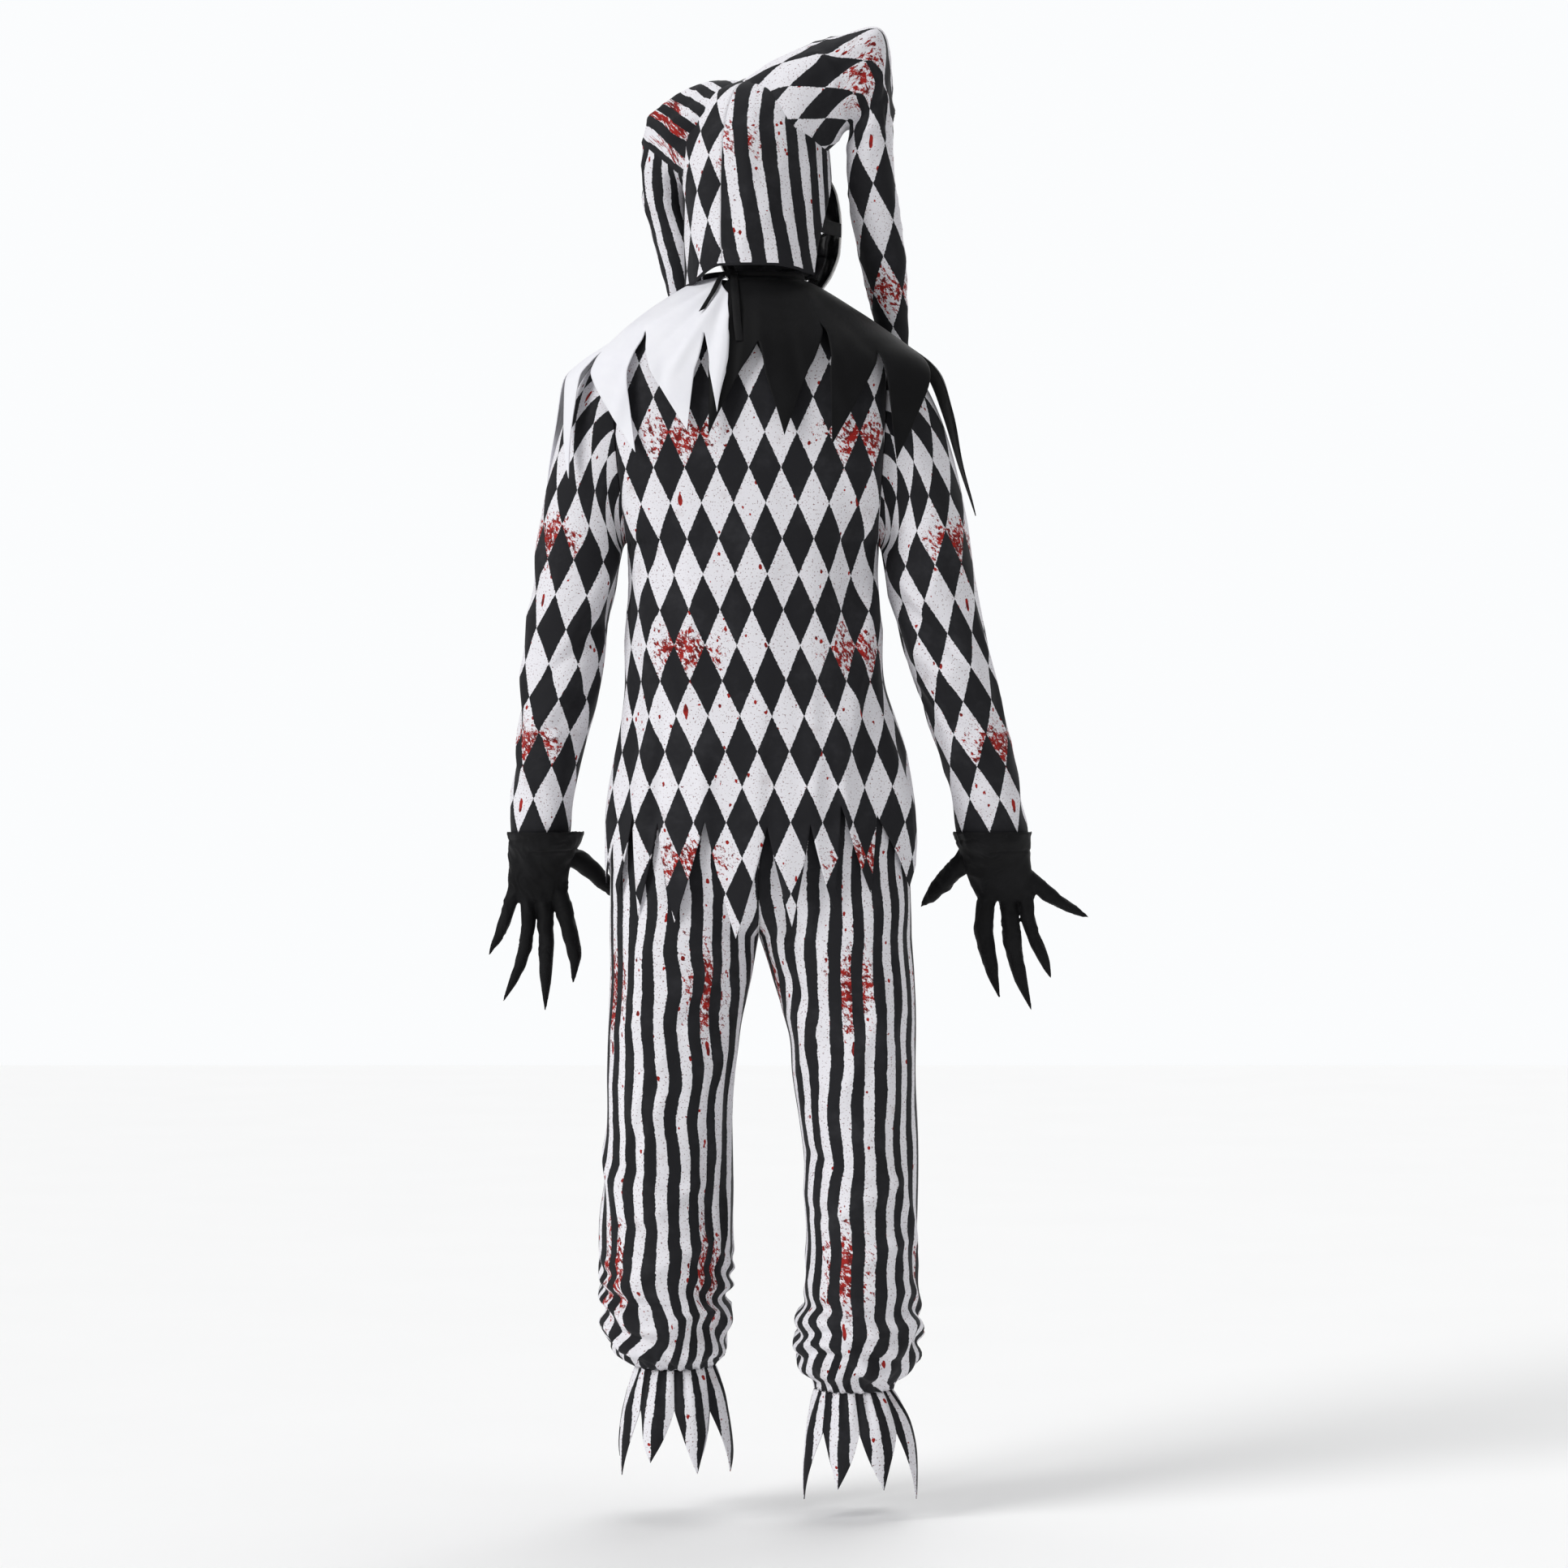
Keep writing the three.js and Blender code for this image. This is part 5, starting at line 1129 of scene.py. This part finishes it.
def frill_point(name, u, v):
    """The radius opens as one minus a power of what is left of the drop, and a saw sets each length."""
    x0, top, rx0, rx1, shift = FRILLS[name]
    turn = u * 2 * np.pi
    saw = 1 - np.abs(((u * DAGS) % 1) * 2 - 1)
    down = v * (FRILL_CUT + FRILL_DAG * (1 + 0.16 * np.sin(u * 31 + shift)) * saw)
    opened = 1 - (1 - np.minimum(down / FRILL_DROP, 1)) ** 2.4
    flute = 3.2 * np.cos(u * DAGS * 2 * np.pi) * smoothstep(down, 0, 45)
    pleat = 1.9 * np.sin(u * 24 * 2 * np.pi + 2 * np.sin(9 * u * np.pi)) * (1 - smoothstep(down, 8, 70))
    out = mix(0, rx1 - rx0, opened) - flute - pleat
    depth = mix(52, 80, opened) - flute - pleat
    x = x0 + shift * opened + (rx0 + out) * np.sin(turn)
    y = mix(-6, 12, opened) - depth * np.cos(turn)
    return np.stack([x, y, top - SEAM - down], -1)


for name in FRILLS:
    around = np.linspace(0, 1, DAGS * 24 + 1)

    def frill_cloth(points, u, v, top=FRILLS[name][1]):
        return np.stack([u * FRILL_ROUND, points[..., 2] - top], -1)

    block = surface(lambda u, v: frill_point(name, u, v), around, np.linspace(0, 1, 33), frill_cloth)
    cloth_piece(
        f"ankle_frill_{name}",
        [block],
        (FRILLS[name][0], 0, FRILLS[name][1] - 60),
        (striped_frill, lining),
        lambda place: 1.4 * waves(place, 31, 60, (1, 1, 0.4)),
    )

# %% [markdown]
# The hood covers the head and leaves the face open. It is two halves that meet over the crown,
# harlequin on the left and striped on the right. It could be sculpted, but then the seam and the
# print would not stay even. So it is made facing +Y from a table of sections and turned with the head.

# %% Hood
HEAD_X, HEAD_Y, HEAD_YAW = 0, 12, -25
HOOD_TOP_Z, HOOD_HEM_Z = 268, 16
HOOD = [
    (268, 2, 2, 2),
    (263, 30, 36, 34),
    (246, 60, 72, 66),
    (215, 80, 96, 88),
    (170, 90, 110, 101),
    (120, 93, 114, 106),
    (60, 94, 111, 104),
    (16, 95, 106, 100),
    (-10, 96, 104, 98),
]
FACE_EDGE = [(200, 180), (176, 150), (150, 122), (110, 100), (70, 86), (-10, 70)]
hood_side, hood_back, hood_front = (curve(HOOD, k) for k in (1, 2, 3))
face_edge = curve(FACE_EDGE, 1)


def turned(points, way=1):
    """Turned with the head about its upright axis, or back again with way -1."""
    angle = np.radians(HEAD_YAW) * way
    shift = np.array([HEAD_X, HEAD_Y, 0])
    about = points if way > 0 else points - shift
    x = about[..., 0] * np.cos(angle) - about[..., 1] * np.sin(angle)
    y = about[..., 0] * np.sin(angle) + about[..., 1] * np.cos(angle)
    return np.stack([x, y, about[..., 2]], -1) + (shift if way > 0 else 0)


def hem_at(name, share):
    if name == "left":
        return mix(HOOD_HEM_Z, -4, smoothstep(share, 0.02, 0.5))
    return mix(HOOD_HEM_Z, 8, smoothstep(share, 0.5, 1))


def hood_point(name, share, v):
    """share runs from the back seam to the face edge, and v from the crown to the hem."""
    side = -1 if name == "left" else 1
    z = mix(HOOD_TOP_Z, hem_at(name, share), v)
    angle = np.radians(share * face_edge(z))
    depth = np.where(np.cos(angle) > 0, hood_back(z), hood_front(z))
    x = side * (SEAM / 2 + hood_side(z) * np.sin(angle))
    return turned(np.stack([x, -depth * np.cos(angle), z], -1))


HOOD_CREASES = [
    (-58, 60, -30, 230, -2.5, 8),
    (-50, 20, -62, 170, 2.5, 8),
    (-20, 30, -10, 200, 2, 10),
    (20, 60, 56, 190, -3, 9),
    (58, 40, 66, 180, 3, 7),
    (40, 110, 64, 60, -2.4, 7),
    (-6, 240, 30, 150, -2, 9),
]


def hood_folds(place):
    soft = waves(place, 41, 120, (1, 1, 0.5)) * 1.8 + rumple(place, 42, 90, (1, 1, 0.5)) * 1.4
    folds = (soft + 1.3 * creases(place, HOOD_CREASES)) * (1 - smoothstep(place[:, 2], 225, 262))
    # A soft floor keeps the deepest fold clear of the mask's strap.
    return 1.2 * np.logaddexp(0, (folds + 0.6) / 1.2) - 0.6


for name in ("left", "right"):

    def hood_cloth(points, u, v, name=name):
        side = -1 if name == "left" else 1
        down = arc(points, 0, 0)[:, 16:17]
        up = down[-1] - down
        lean = 0 if name == "left" else 0.14
        return np.stack([side * arc(points, 1, 0) + lean * up, up + 0 * u], -1)

    def hood_edge(corners, name=name):
        head = turned(corners, -1)
        angle = np.degrees(np.arctan2(np.abs(head[:, 0]), -head[:, 1]))
        share = np.clip(angle / face_edge(head[:, 2]), 0, 1)
        above = np.maximum(head[:, 2] - hem_at(name, share), 0)
        return np.stack([above, share], -1)

    v = 1 - np.linspace(1, 0, 90) ** 1.6
    block = surface(lambda u, v: hood_point(name, u, v), np.linspace(0, 1, 49), v, hood_cloth)
    print_of = harlequin_hood if name == "left" else striped_hood
    middle = turned(np.array([0.0, 0, 110]))
    cloth_piece(f"hood_{name}", [block], middle, (print_of, lining), hood_folds, edge=hood_edge)

# %% [markdown]
# A horn is a tapering tube of cloth that rises from the hood, bends over and hangs down to a point. A
# cone with a bend modifier keeps a round section, but these are broad at the base and flatter at the
# bend. So leaning ovals follow a bent line. What would lie inside the hood is drawn out to just under
# its cloth.

# %% Horns
HORNS = {
    "left": [
        (-38, 196, 18, 70, 60, 76),
        (-70, 196, 20, 75, 64, 79),
        (-92, 194.4, 26, 66.4, 60, 89),
        (-107, 188, 34, 58, 54, 102),
        (-120.3, 176.5, 42, 50.2, 48, 119),
        (-125.3, 159, 51, 39.4, 43, 137),
        (-125.8, 141.3, 57, 31.4, 39, 159),
        (-124, 108, 64, 30, 34, 172),
        (-111.5, 66, 71, 29.5, 30, 176),
        (-99, 22, 82, 27, 25, 178),
        (-92, -22, 103, 21, 18, 178),
        (-88, -68, 122, 13, 9, 178),
        (-87, -104, 129, 3, 2.2, 178),
    ],
    "right": [
        (5, 203, -4, 66, 60, 122),
        (42, 226, -2, 71, 66, 106),
        (70, 240, 0, 72, 66, 97),
        (100, 254, 2, 69, 64, 89),
        (127, 262, 5, 63, 60, 76),
        (142, 250, 8, 53, 55, 62),
        (145, 219, 12, 42, 50, 44),
        (145, 182, 18, 33, 46, 18),
        (147, 142, 25, 31.5, 42, 5),
        (153, 94, 33, 32, 38, 2),
        (163, 32, 45, 30, 32, 2),
        (171, -21, 62, 24, 25, 3),
        (180, -76, 84, 17, 16, 4),
        (186, -124, 103, 8, 7, 5),
        (188, -142, 109, 2.5, 2, 5),
    ],
}
HORN_BACK = -0.25


def horn_point(name, u, v):
    """Each section is an oval whose wide way leans from level. u is 0 at the side that faces the camera."""
    x, z, y, wide, deep, lean = np.moveaxis(spline(HORNS[name], v), -1, 0)
    turn = (u + HORN_BACK) * 2 * np.pi
    across, lean = wide * np.cos(turn), np.radians(lean)
    return np.stack([x + across * np.cos(lean), y + deep * np.sin(turn), z + across * np.sin(lean)], -1)


def outside_hood(points):
    """Points inside the hood are moved out, level, to just under its cloth. Also says which were."""
    head = turned(points, -1)
    z = np.clip(head[..., 2], HOOD_HEM_Z, HOOD_TOP_Z)
    depth = np.where(head[..., 1] < 0, hood_back(z), hood_front(z))
    size = np.hypot(head[..., 0] / hood_side(z), head[..., 1] / depth)
    inside = (size < 0.975) & (head[..., 2] < HOOD_TOP_Z)
    grow = np.where(inside, 0.975 / np.maximum(size, 0.05), 1)[..., None]
    return turned(head * np.concatenate([grow, grow, np.ones_like(grow)], -1)), inside


HORN_CREASES = {
    "left": [
        (-60, 250, -130, 222, -4, 7),
        (-50, 224, -140, 196, 3.5, 7),
        (-60, 190, -142, 176, -4, 7),
        (-84, 170, -148, 150, 3.5, 7),
        (-132, 140, -120, 20, -2.5, 8),
        (-156, 192, -90, 138, 5, 6),
        (-156, 178, -94, 122, -5, 6),
    ],
    "right": [
        (60, 296, 140, 262, 3.5, 8),
        (70, 250, 150, 300, -4, 8),
        (96, 230, 160, 262, 4, 8),
        (112, 206, 168, 240, -4, 8),
        (128, 190, 172, 214, 3, 6),
        (150, 180, 152, 30, -2.5, 9),
        (138, 150, 176, 120, 2.5, 8),
    ],
}

# The left horn's stripes slope down to the right as far as its fold, and run down it below that.
SLOPE = np.radians(40)
FOLD_AT, STRIPE_SHIFT = 46, 8
HORN_PEAK = {"left": (-132, 205, 22, -5, 6), "right": (146, 312, 26, 9, 15)}
# Laid flat, a horn is taken as this many times its widest section, and to fill this share of its box.
HORN_FLAT_WIDTH, HORN_FLAT_SHARE = 1.6, 0.7

for name in ("left", "right"):

    def horn_folds(place, name=name):
        bend = bump(place[:, 2], 190 if name == "left" else 235, 60)
        soft = waves(place, 51, 80) * 1.6 + rumple(place, 52, 60) * 1.5
        thin = smoothstep(place[:, 2], -110, -20)
        return (soft * (0.6 + bend) + creases(place, HORN_CREASES[name])) * thin

    half = []
    for low, high in ((-0.5, 0.0), (0.0, 0.5)):
        around = np.linspace(low, high, 33)
        uu, vv = np.meshgrid(around, np.linspace(0, 1, 170))
        raw = horn_point(name, uu, vv)
        full = horn_point(name, *np.meshgrid(np.linspace(0, 1, 65), np.linspace(0, 1, 170)))
        long = arc(full, 0, 0).mean(axis=1, keepdims=True)
        cloth = np.stack([arc(raw, 1, 0 if low == 0 else -1), -long + 0 * uu], -1)
        half.append((raw, cloth))
    place, quads, corner = joined_blocks(half, (0, 0, 0))
    middle = spline(HORNS[name], np.linspace(0, 1, 60))[:, [0, 2, 1]]
    centre = place[quads].mean(axis=1)
    near = middle[np.argmin(((centre[:, None] - middle[None]) ** 2).sum(axis=2), axis=1)]
    a, b, c, d = (place[quads[:, k]] for k in range(4))
    if np.sum(np.cross(c - a, d - b) * (centre - near)) < 0:
        quads, corner = quads[:, ::-1], corner[:, ::-1]
    if name == "left":
        across = place[:, 0] * np.sin(SLOPE) + place[:, 2] * np.cos(SLOPE)
        base = across[quads].mean(axis=1) > FOLD_AT
        corner[base, :, 0] = across[quads[base]] + STRIPE_SHIFT
    place = place + vertex_normals(place, quads) * horn_folds(place)[:, None]
    peak_x, peak_z, wide, out, up = HORN_PEAK[name]
    near_peak = bump(np.hypot(place[:, 0] - peak_x, place[:, 2] - peak_z), 0, wide)
    place = place + near_peak[:, None] * [out, 0, up]
    place, inside = outside_hood(place)
    shown = ~inside[quads].all(axis=1)
    quads, corner = quads[shown], corner[shown]
    used, quads = np.unique(quads, return_inverse=True)
    place, quads = place[used], quads.reshape(-1, 4)
    node = f"horn_{name}"
    horn = put(f"cloth_{node}", mesh_from(node, place, quads, corner), node)
    horn.data.materials.append(striped_horn if name == "left" else harlequin_horn)
    horn.data.materials.append(lining)
    add_wall(horn, CLOTH, 1)
    area = area_of(place, quads) * MM**2
    wide = 2 * max(row[3] for row in HORNS[name]) * HORN_FLAT_WIDTH * MM
    print(f"{node}: {len(quads)} quads, {area:.3f} square metres")

# %% [markdown]
# The mask is a thin moulded shell with a calm, plain face, white outside and black inside. It could be
# sculpted, but a few named bumps on a curved sheet are easier to read and to change. Points inside an
# eye or the mouth are moved to its rim, and the faces that lie wholly inside are left out. Its strap
# runs round the head inside the hood.

# %% Mask
MASK = [
    (165, 42, 84, 80),
    (150, 66, 100, 70),
    (120, 84, 108, 62),
    (84, 90, 110, 60),
    (50, 88, 110, 60),
    (20, 76, 108, 62),
    (0, 58, 106, 68),
    (-18, 36, 100, 78),
    (-25, 24, 92, 82),
]
mask_wide, mask_front, mask_rim = (curve(MASK, k) for k in (1, 2, 3))
RELIEF = [(5, 32, 26, 106, 16), (-5, 33, 20, 84, 14), (6, 50, 20, 48, 24), (5, 0, 22, -8, 12)]
HOLES = [(-33, 84, 19, 9), (33, 84, 19, 9), (0, 17, 27, 3.5)]
MASK_REACH = 84
MASK_THICK = 2
angles, z = np.meshgrid(np.linspace(-MASK_REACH, MASK_REACH, 161), np.linspace(165, -25, 171))
turn, edge = np.radians(angles), np.radians(MASK_REACH)
x = mask_wide(z) * np.sin(turn) / np.sin(edge)
for hole_x, hole_z, wide, high in HOLES:
    size = np.maximum(np.hypot((x - hole_x) / wide, (z - hole_z) / high), 1e-3)
    near = (size < 1) & (size > 0.62)
    x, z = np.where(near, hole_x + (x - hole_x) / size, x), np.where(near, hole_z + (z - hole_z) / size, z)
face = mix(mask_rim(z), mask_front(z), np.maximum(np.cos(turn) - np.cos(edge), 0) ** 0.9)
for out, at_x, wide, at_z, high in RELIEF:
    face = face + out * bump(z, at_z, high) * bump(np.abs(x), at_x, wide)
face = face + 24 * bump(x, 0, 11) * smoothstep(-z, -96, -48) * (1 - smoothstep(-z, -48, -36))
lips = 2.2 * bump(z, 23, 4) * bump(x, 0, 20) + 2.6 * bump(z, 11, 4) * bump(x, 0, 18)
lids = sum(1.6 * bump(np.hypot((x - at) / 19, (z - 84) / 9), 1.12, 0.12) for at in (-33, 33))
points = turned(np.stack([x, face + lips + lids, z], -1))
place, quads, corner = joined_blocks([(points, np.stack([x, z], -1))], turned(np.array([0.0, 40, 70])))
head = turned(place, -1)
sizes = [np.hypot((head[:, 0] - hx) / w, (head[:, 2] - hz) / h) for hx, hz, w, h in HOLES]
gone = np.any([(s < 1.001)[quads].all(axis=1) for s in sizes], axis=0)
mask = put("shell_mask", mesh_from("mask", place, quads[~gone], corner[~gone]), "mask")
mask.data.materials.append(mask_white)
mask.data.materials.append(mask_black)
add_wall(mask, MASK_THICK, 1)
print("mask:", np.count_nonzero(~gone), "quads, and", np.count_nonzero(gone), "left out in its holes")

STRAP_HALF, STRAP_STRAIGHT, STRAP_BACK, STRAP_SIDE = 90.8, 59.3, 109.2, 0.2


def strap_ring(u):
    """Straight back from each side of the mask for a fifth of u, then round the head."""
    near = np.minimum(u, 1 - u) / STRAP_SIDE
    turn = np.pi * np.clip((u - STRAP_SIDE) / (1 - 2 * STRAP_SIDE), 0, 1)
    x = np.where(near < 1, np.sign(u - 0.5) * STRAP_HALF, -STRAP_HALF * np.cos(turn))
    return x, np.where(near < 1, STRAP_STRAIGHT * (1 - near), -STRAP_BACK * np.sin(turn))


points, cloth = band(np.linspace(0, 1, 241), 66, 84, strap_ring, 13)
cloth_piece(
    "mask_strap", [(turned(points), cloth)], turned(np.array([0.0, 0, 75])), (black_tape,),
    lambda place: 0.25 * np.sin(place[:, 2] * 2 * np.pi / 3), thick=1.2,
)

# %% [markdown]
# A glove is stretch cloth with five long pointed fingers. Separate tubes would cut into each other
# where the fingers meet the palm. So a palm and five fingers are made one skin by a voxel remesh,
# which is smoothed, cut open at the cuff and given a wall.

# %% Gloves
GLOVES = {
    "left": (
        [
            (-278, 40, -707, 49.5, 48),
            (-281, 41, -724, 47, 46),
            (-286, 44, -745, 42, 29),
            (-289.5, 50, -768, 40, 19),
            (-290, 54, -790, 39, 14),
            (-290, 55, -800, 34, 9),
        ],
        [
            [(-318, 53, -776, 9.5), (-326.5, 54, -803, 9), (-338, 56, -838, 7.5), (-355, 58, -872, 1.2)],
            [
                (-304.5, 54, -784, 10),
                (-303.5, 57, -829.5, 9.3),
                (-310, 59, -871.5, 8.3),
                (-322, 60, -903, 6),
                (-336, 61, -932, 1.2),
            ],
            [
                (-283.5, 55, -787.5, 10.5),
                (-280, 58, -840, 10.5),
                (-280, 61, -892.5, 8.5),
                (-281, 63, -945, 1.2),
            ],
            [
                (-265, 54, -779, 11.5),
                (-252, 58, -829.5, 11.5),
                (-242.5, 61, -871.5, 8.5),
                (-244.6, 62, -909, 1.2),
            ],
            [(-262, 52, -737, 13), (-231, 62, -751, 13.5), (-205, 72, -775, 10.5), (-173, 82, -810, 1.2)],
        ],
    ),
    "right": (
        [
            (304.5, 40, -707, 51, 46.5),
            (306, 41, -724, 48.5, 44.5),
            (311, 44, -745, 44, 29),
            (316, 50, -768, 43, 20),
            (322, 54, -790, 40, 15),
            (323, 55, -800, 35, 10),
        ],
        [
            [(352, 53, -768, 10.5), (381, 56, -793, 9.5), (406, 58, -808.5, 7), (432.6, 60, -822, 1.2)],
            [(347.6, 54, -787, 10), (356, 58, -836, 9), (371.7, 60, -872.5, 7.5), (383, 61, -902, 1.2)],
            [(325.5, 55, -787.5, 12), (331, 58, -845, 12), (340.6, 61, -893.5, 9.5), (357.4, 63, -944, 1.2)],
            [(300, 54, -781, 12.5), (295, 58, -836, 12.5), (303.5, 61, -884, 9.5), (315.5, 62, -928, 1.2)],
            [(276, 52, -739, 14), (249, 62, -768, 13), (230, 72, -790, 10), (212, 82, -810, 1.2)],
        ],
    ),
}


def capped(rings):
    ends = [np.repeat(rings[k].mean(axis=0)[None, None], rings.shape[1], axis=1) for k in (0, -1)]
    return np.concatenate([ends[0], rings, ends[1]])


def finger_rings(stations, steps=40, sides=24):
    """A round tube along a finger's middle line, with its radii from a monotone curve."""
    t = np.linspace(0, 1, steps + 1)
    path = spline(stations, t)[:, :3]
    radius = curve([(i / (len(stations) - 1), s[3]) for i, s in enumerate(stations)], 1)(t)
    ahead = unit(np.gradient(path, axis=0))
    wide = unit(np.cross(ahead, (0, 1, 0)))
    deep = unit(np.cross(ahead, wide))
    turn = np.linspace(0, 2 * np.pi, sides + 1)[None, :, None]
    around = wide[:, None] * np.cos(turn) + deep[:, None] * np.sin(turn)
    return path[:, None] + radius[:, None, None] * around


VOXEL, CUFF_TOP, GLOVE_CLOTH = 1.7, -708.5, 1.1
for name, (palm, fingers) in GLOVES.items():
    x, y, z, wide, deep = np.moveaxis(spline(palm, np.linspace(0, 1, 50)), -1, 0)[..., None]
    turn = np.linspace(0, 2 * np.pi, 65)[None, :]
    hand = np.stack([x + wide * np.cos(turn), y + deep * np.sin(turn), z + 0 * turn], -1)
    place, quads = np.zeros((0, 3)), np.zeros((0, 4), int)
    for rings in [hand, *[finger_rings(finger) for finger in fingers]]:
        solid = capped(rings)
        p, q, _ = joined_blocks([(solid, solid[..., :2])], solid.reshape(-1, 3).mean(axis=0))
        place, quads = np.concatenate([place, p]), np.concatenate([quads, q + len(place)])
    solid = bpy.data.objects.new("solid", mesh_from("solid", place, quads, np.zeros((len(quads), 4, 2))))
    bpy.context.collection.objects.link(solid)
    remesh = solid.modifiers.new("remesh", "REMESH")
    remesh.mode = "VOXEL"
    remesh.voxel_size = VOXEL * MM
    smooth = solid.modifiers.new("smooth", "SMOOTH")
    smooth.iterations = 4
    skin = solid.evaluated_get(bpy.context.evaluated_depsgraph_get()).to_mesh()
    place = np.empty(len(skin.vertices) * 3, np.float32)
    skin.vertices.foreach_get("co", place)
    place = place.reshape(-1, 3).astype(float) / MM
    corners = np.empty(len(skin.loops), int)
    skin.loops.foreach_get("vertex_index", corners)
    quads = corners.reshape(-1, 4)
    bpy.data.objects.remove(solid)
    quads = quads[place[quads][:, :, 2].max(axis=1) < CUFF_TOP]
    used, quads = np.unique(quads, return_inverse=True)
    place, quads = place[used], quads.reshape(-1, 4)
    normal = vertex_normals(place, quads)
    z = place[:, 2]
    welt = 0.9 * bump(z, -712, 3) - 1.1 * bump(z, -737 + 0.06 * (place[:, 0] % 300), 1.8)
    knuckle = 0.5 * waves(place, 61, 26) + 0.5 * rumple(place, 62, 20)
    place = place + normal * (welt + knuckle * (1 - smoothstep(-z, 860, 930)))[:, None]
    cloth = place[quads][:, :, [0, 2]]
    mesh = mesh_from(f"glove_{name}", place, quads, cloth)
    glove = put(f"knit_glove_{name}", mesh, f"glove_{name}")
    glove.data.materials.append(glove_knit)
    add_wall(glove, GLOVE_CLOTH)
    area = float(area_of(place, quads) * MM**2)
    print(f"glove_{name}: {len(quads)} quads, {area:.3f} square metres")

# %% [markdown]
# The backdrop is pale and even. One small lamp would give hard shadows and a dark side, so four broad
# sun lamps light the costume, the strongest from the left. The world is dim as a light and bright
# where the camera sees it, and the floor takes a soft shadow.

# %% Studio
FLOOR_Z = -1.6
floor_mesh = bpy.data.meshes.new("floor")
corners = [(x, y, FLOOR_Z) for x, y in ((-9, -9), (9, -9), (9, 9), (-9, 9))]
floor_mesh.from_pydata(corners, [], [(0, 1, 2, 3)])
floor = bpy.data.objects.new("floor", floor_mesh)
bpy.context.collection.objects.link(floor)
pale = Graph("floor", 0.9, specular=0.1)
where = pale.node("TexCoord").outputs["Object"]
tone = pale.blend(pale.noise(where, 3.0, 2.0), (0.93, 0.93, 0.93, 1), (0.91, 0.91, 0.91, 1))
floor.data.materials.append(pale.finish(tone, pale.noise(where, 200.0, 2.0), 0.02))

for name, ways, softness, power in (
    ("key", (-0.8, -0.62, 0.6), 26, 1.9),
    ("fill", (0.9, -0.6, 0.1), 60, 0.16),
    ("top", (0.1, 0.15, 1.0), 50, 1.05),
    ("back", (0.3, 0.9, 0.45), 50, 0.9),
):
    light = bpy.data.objects.new(name, bpy.data.lights.new(name, "SUN"))
    light.data.energy = power
    light.data.angle = np.radians(softness)
    flat = np.hypot(ways[0], ways[1])
    light.rotation_euler = (np.arctan2(flat, ways[2]), 0, np.arctan2(ways[1], ways[0]) + np.pi / 2)
    bpy.context.collection.objects.link(light)

world = bpy.data.worlds.new("studio")
world.use_nodes = True
world.node_tree.nodes["Background"].inputs[0].default_value = (0.98, 0.99, 1.0, 1)
seen = world.node_tree.nodes.new("ShaderNodeLightPath").outputs["Is Camera Ray"]
glow = world.node_tree.nodes.new("ShaderNodeMapRange")
glow.inputs["To Min"].default_value = 0.26
glow.inputs["To Max"].default_value = 0.985
world.node_tree.links.new(seen, glow.inputs["Value"])
world.node_tree.links.new(glow.outputs[0], world.node_tree.nodes["Background"].inputs[1])
bpy.context.scene.world = world
bpy.context.scene.view_settings.view_transform = "Standard"
print("lamps:", [light.name for light in bpy.data.lights])
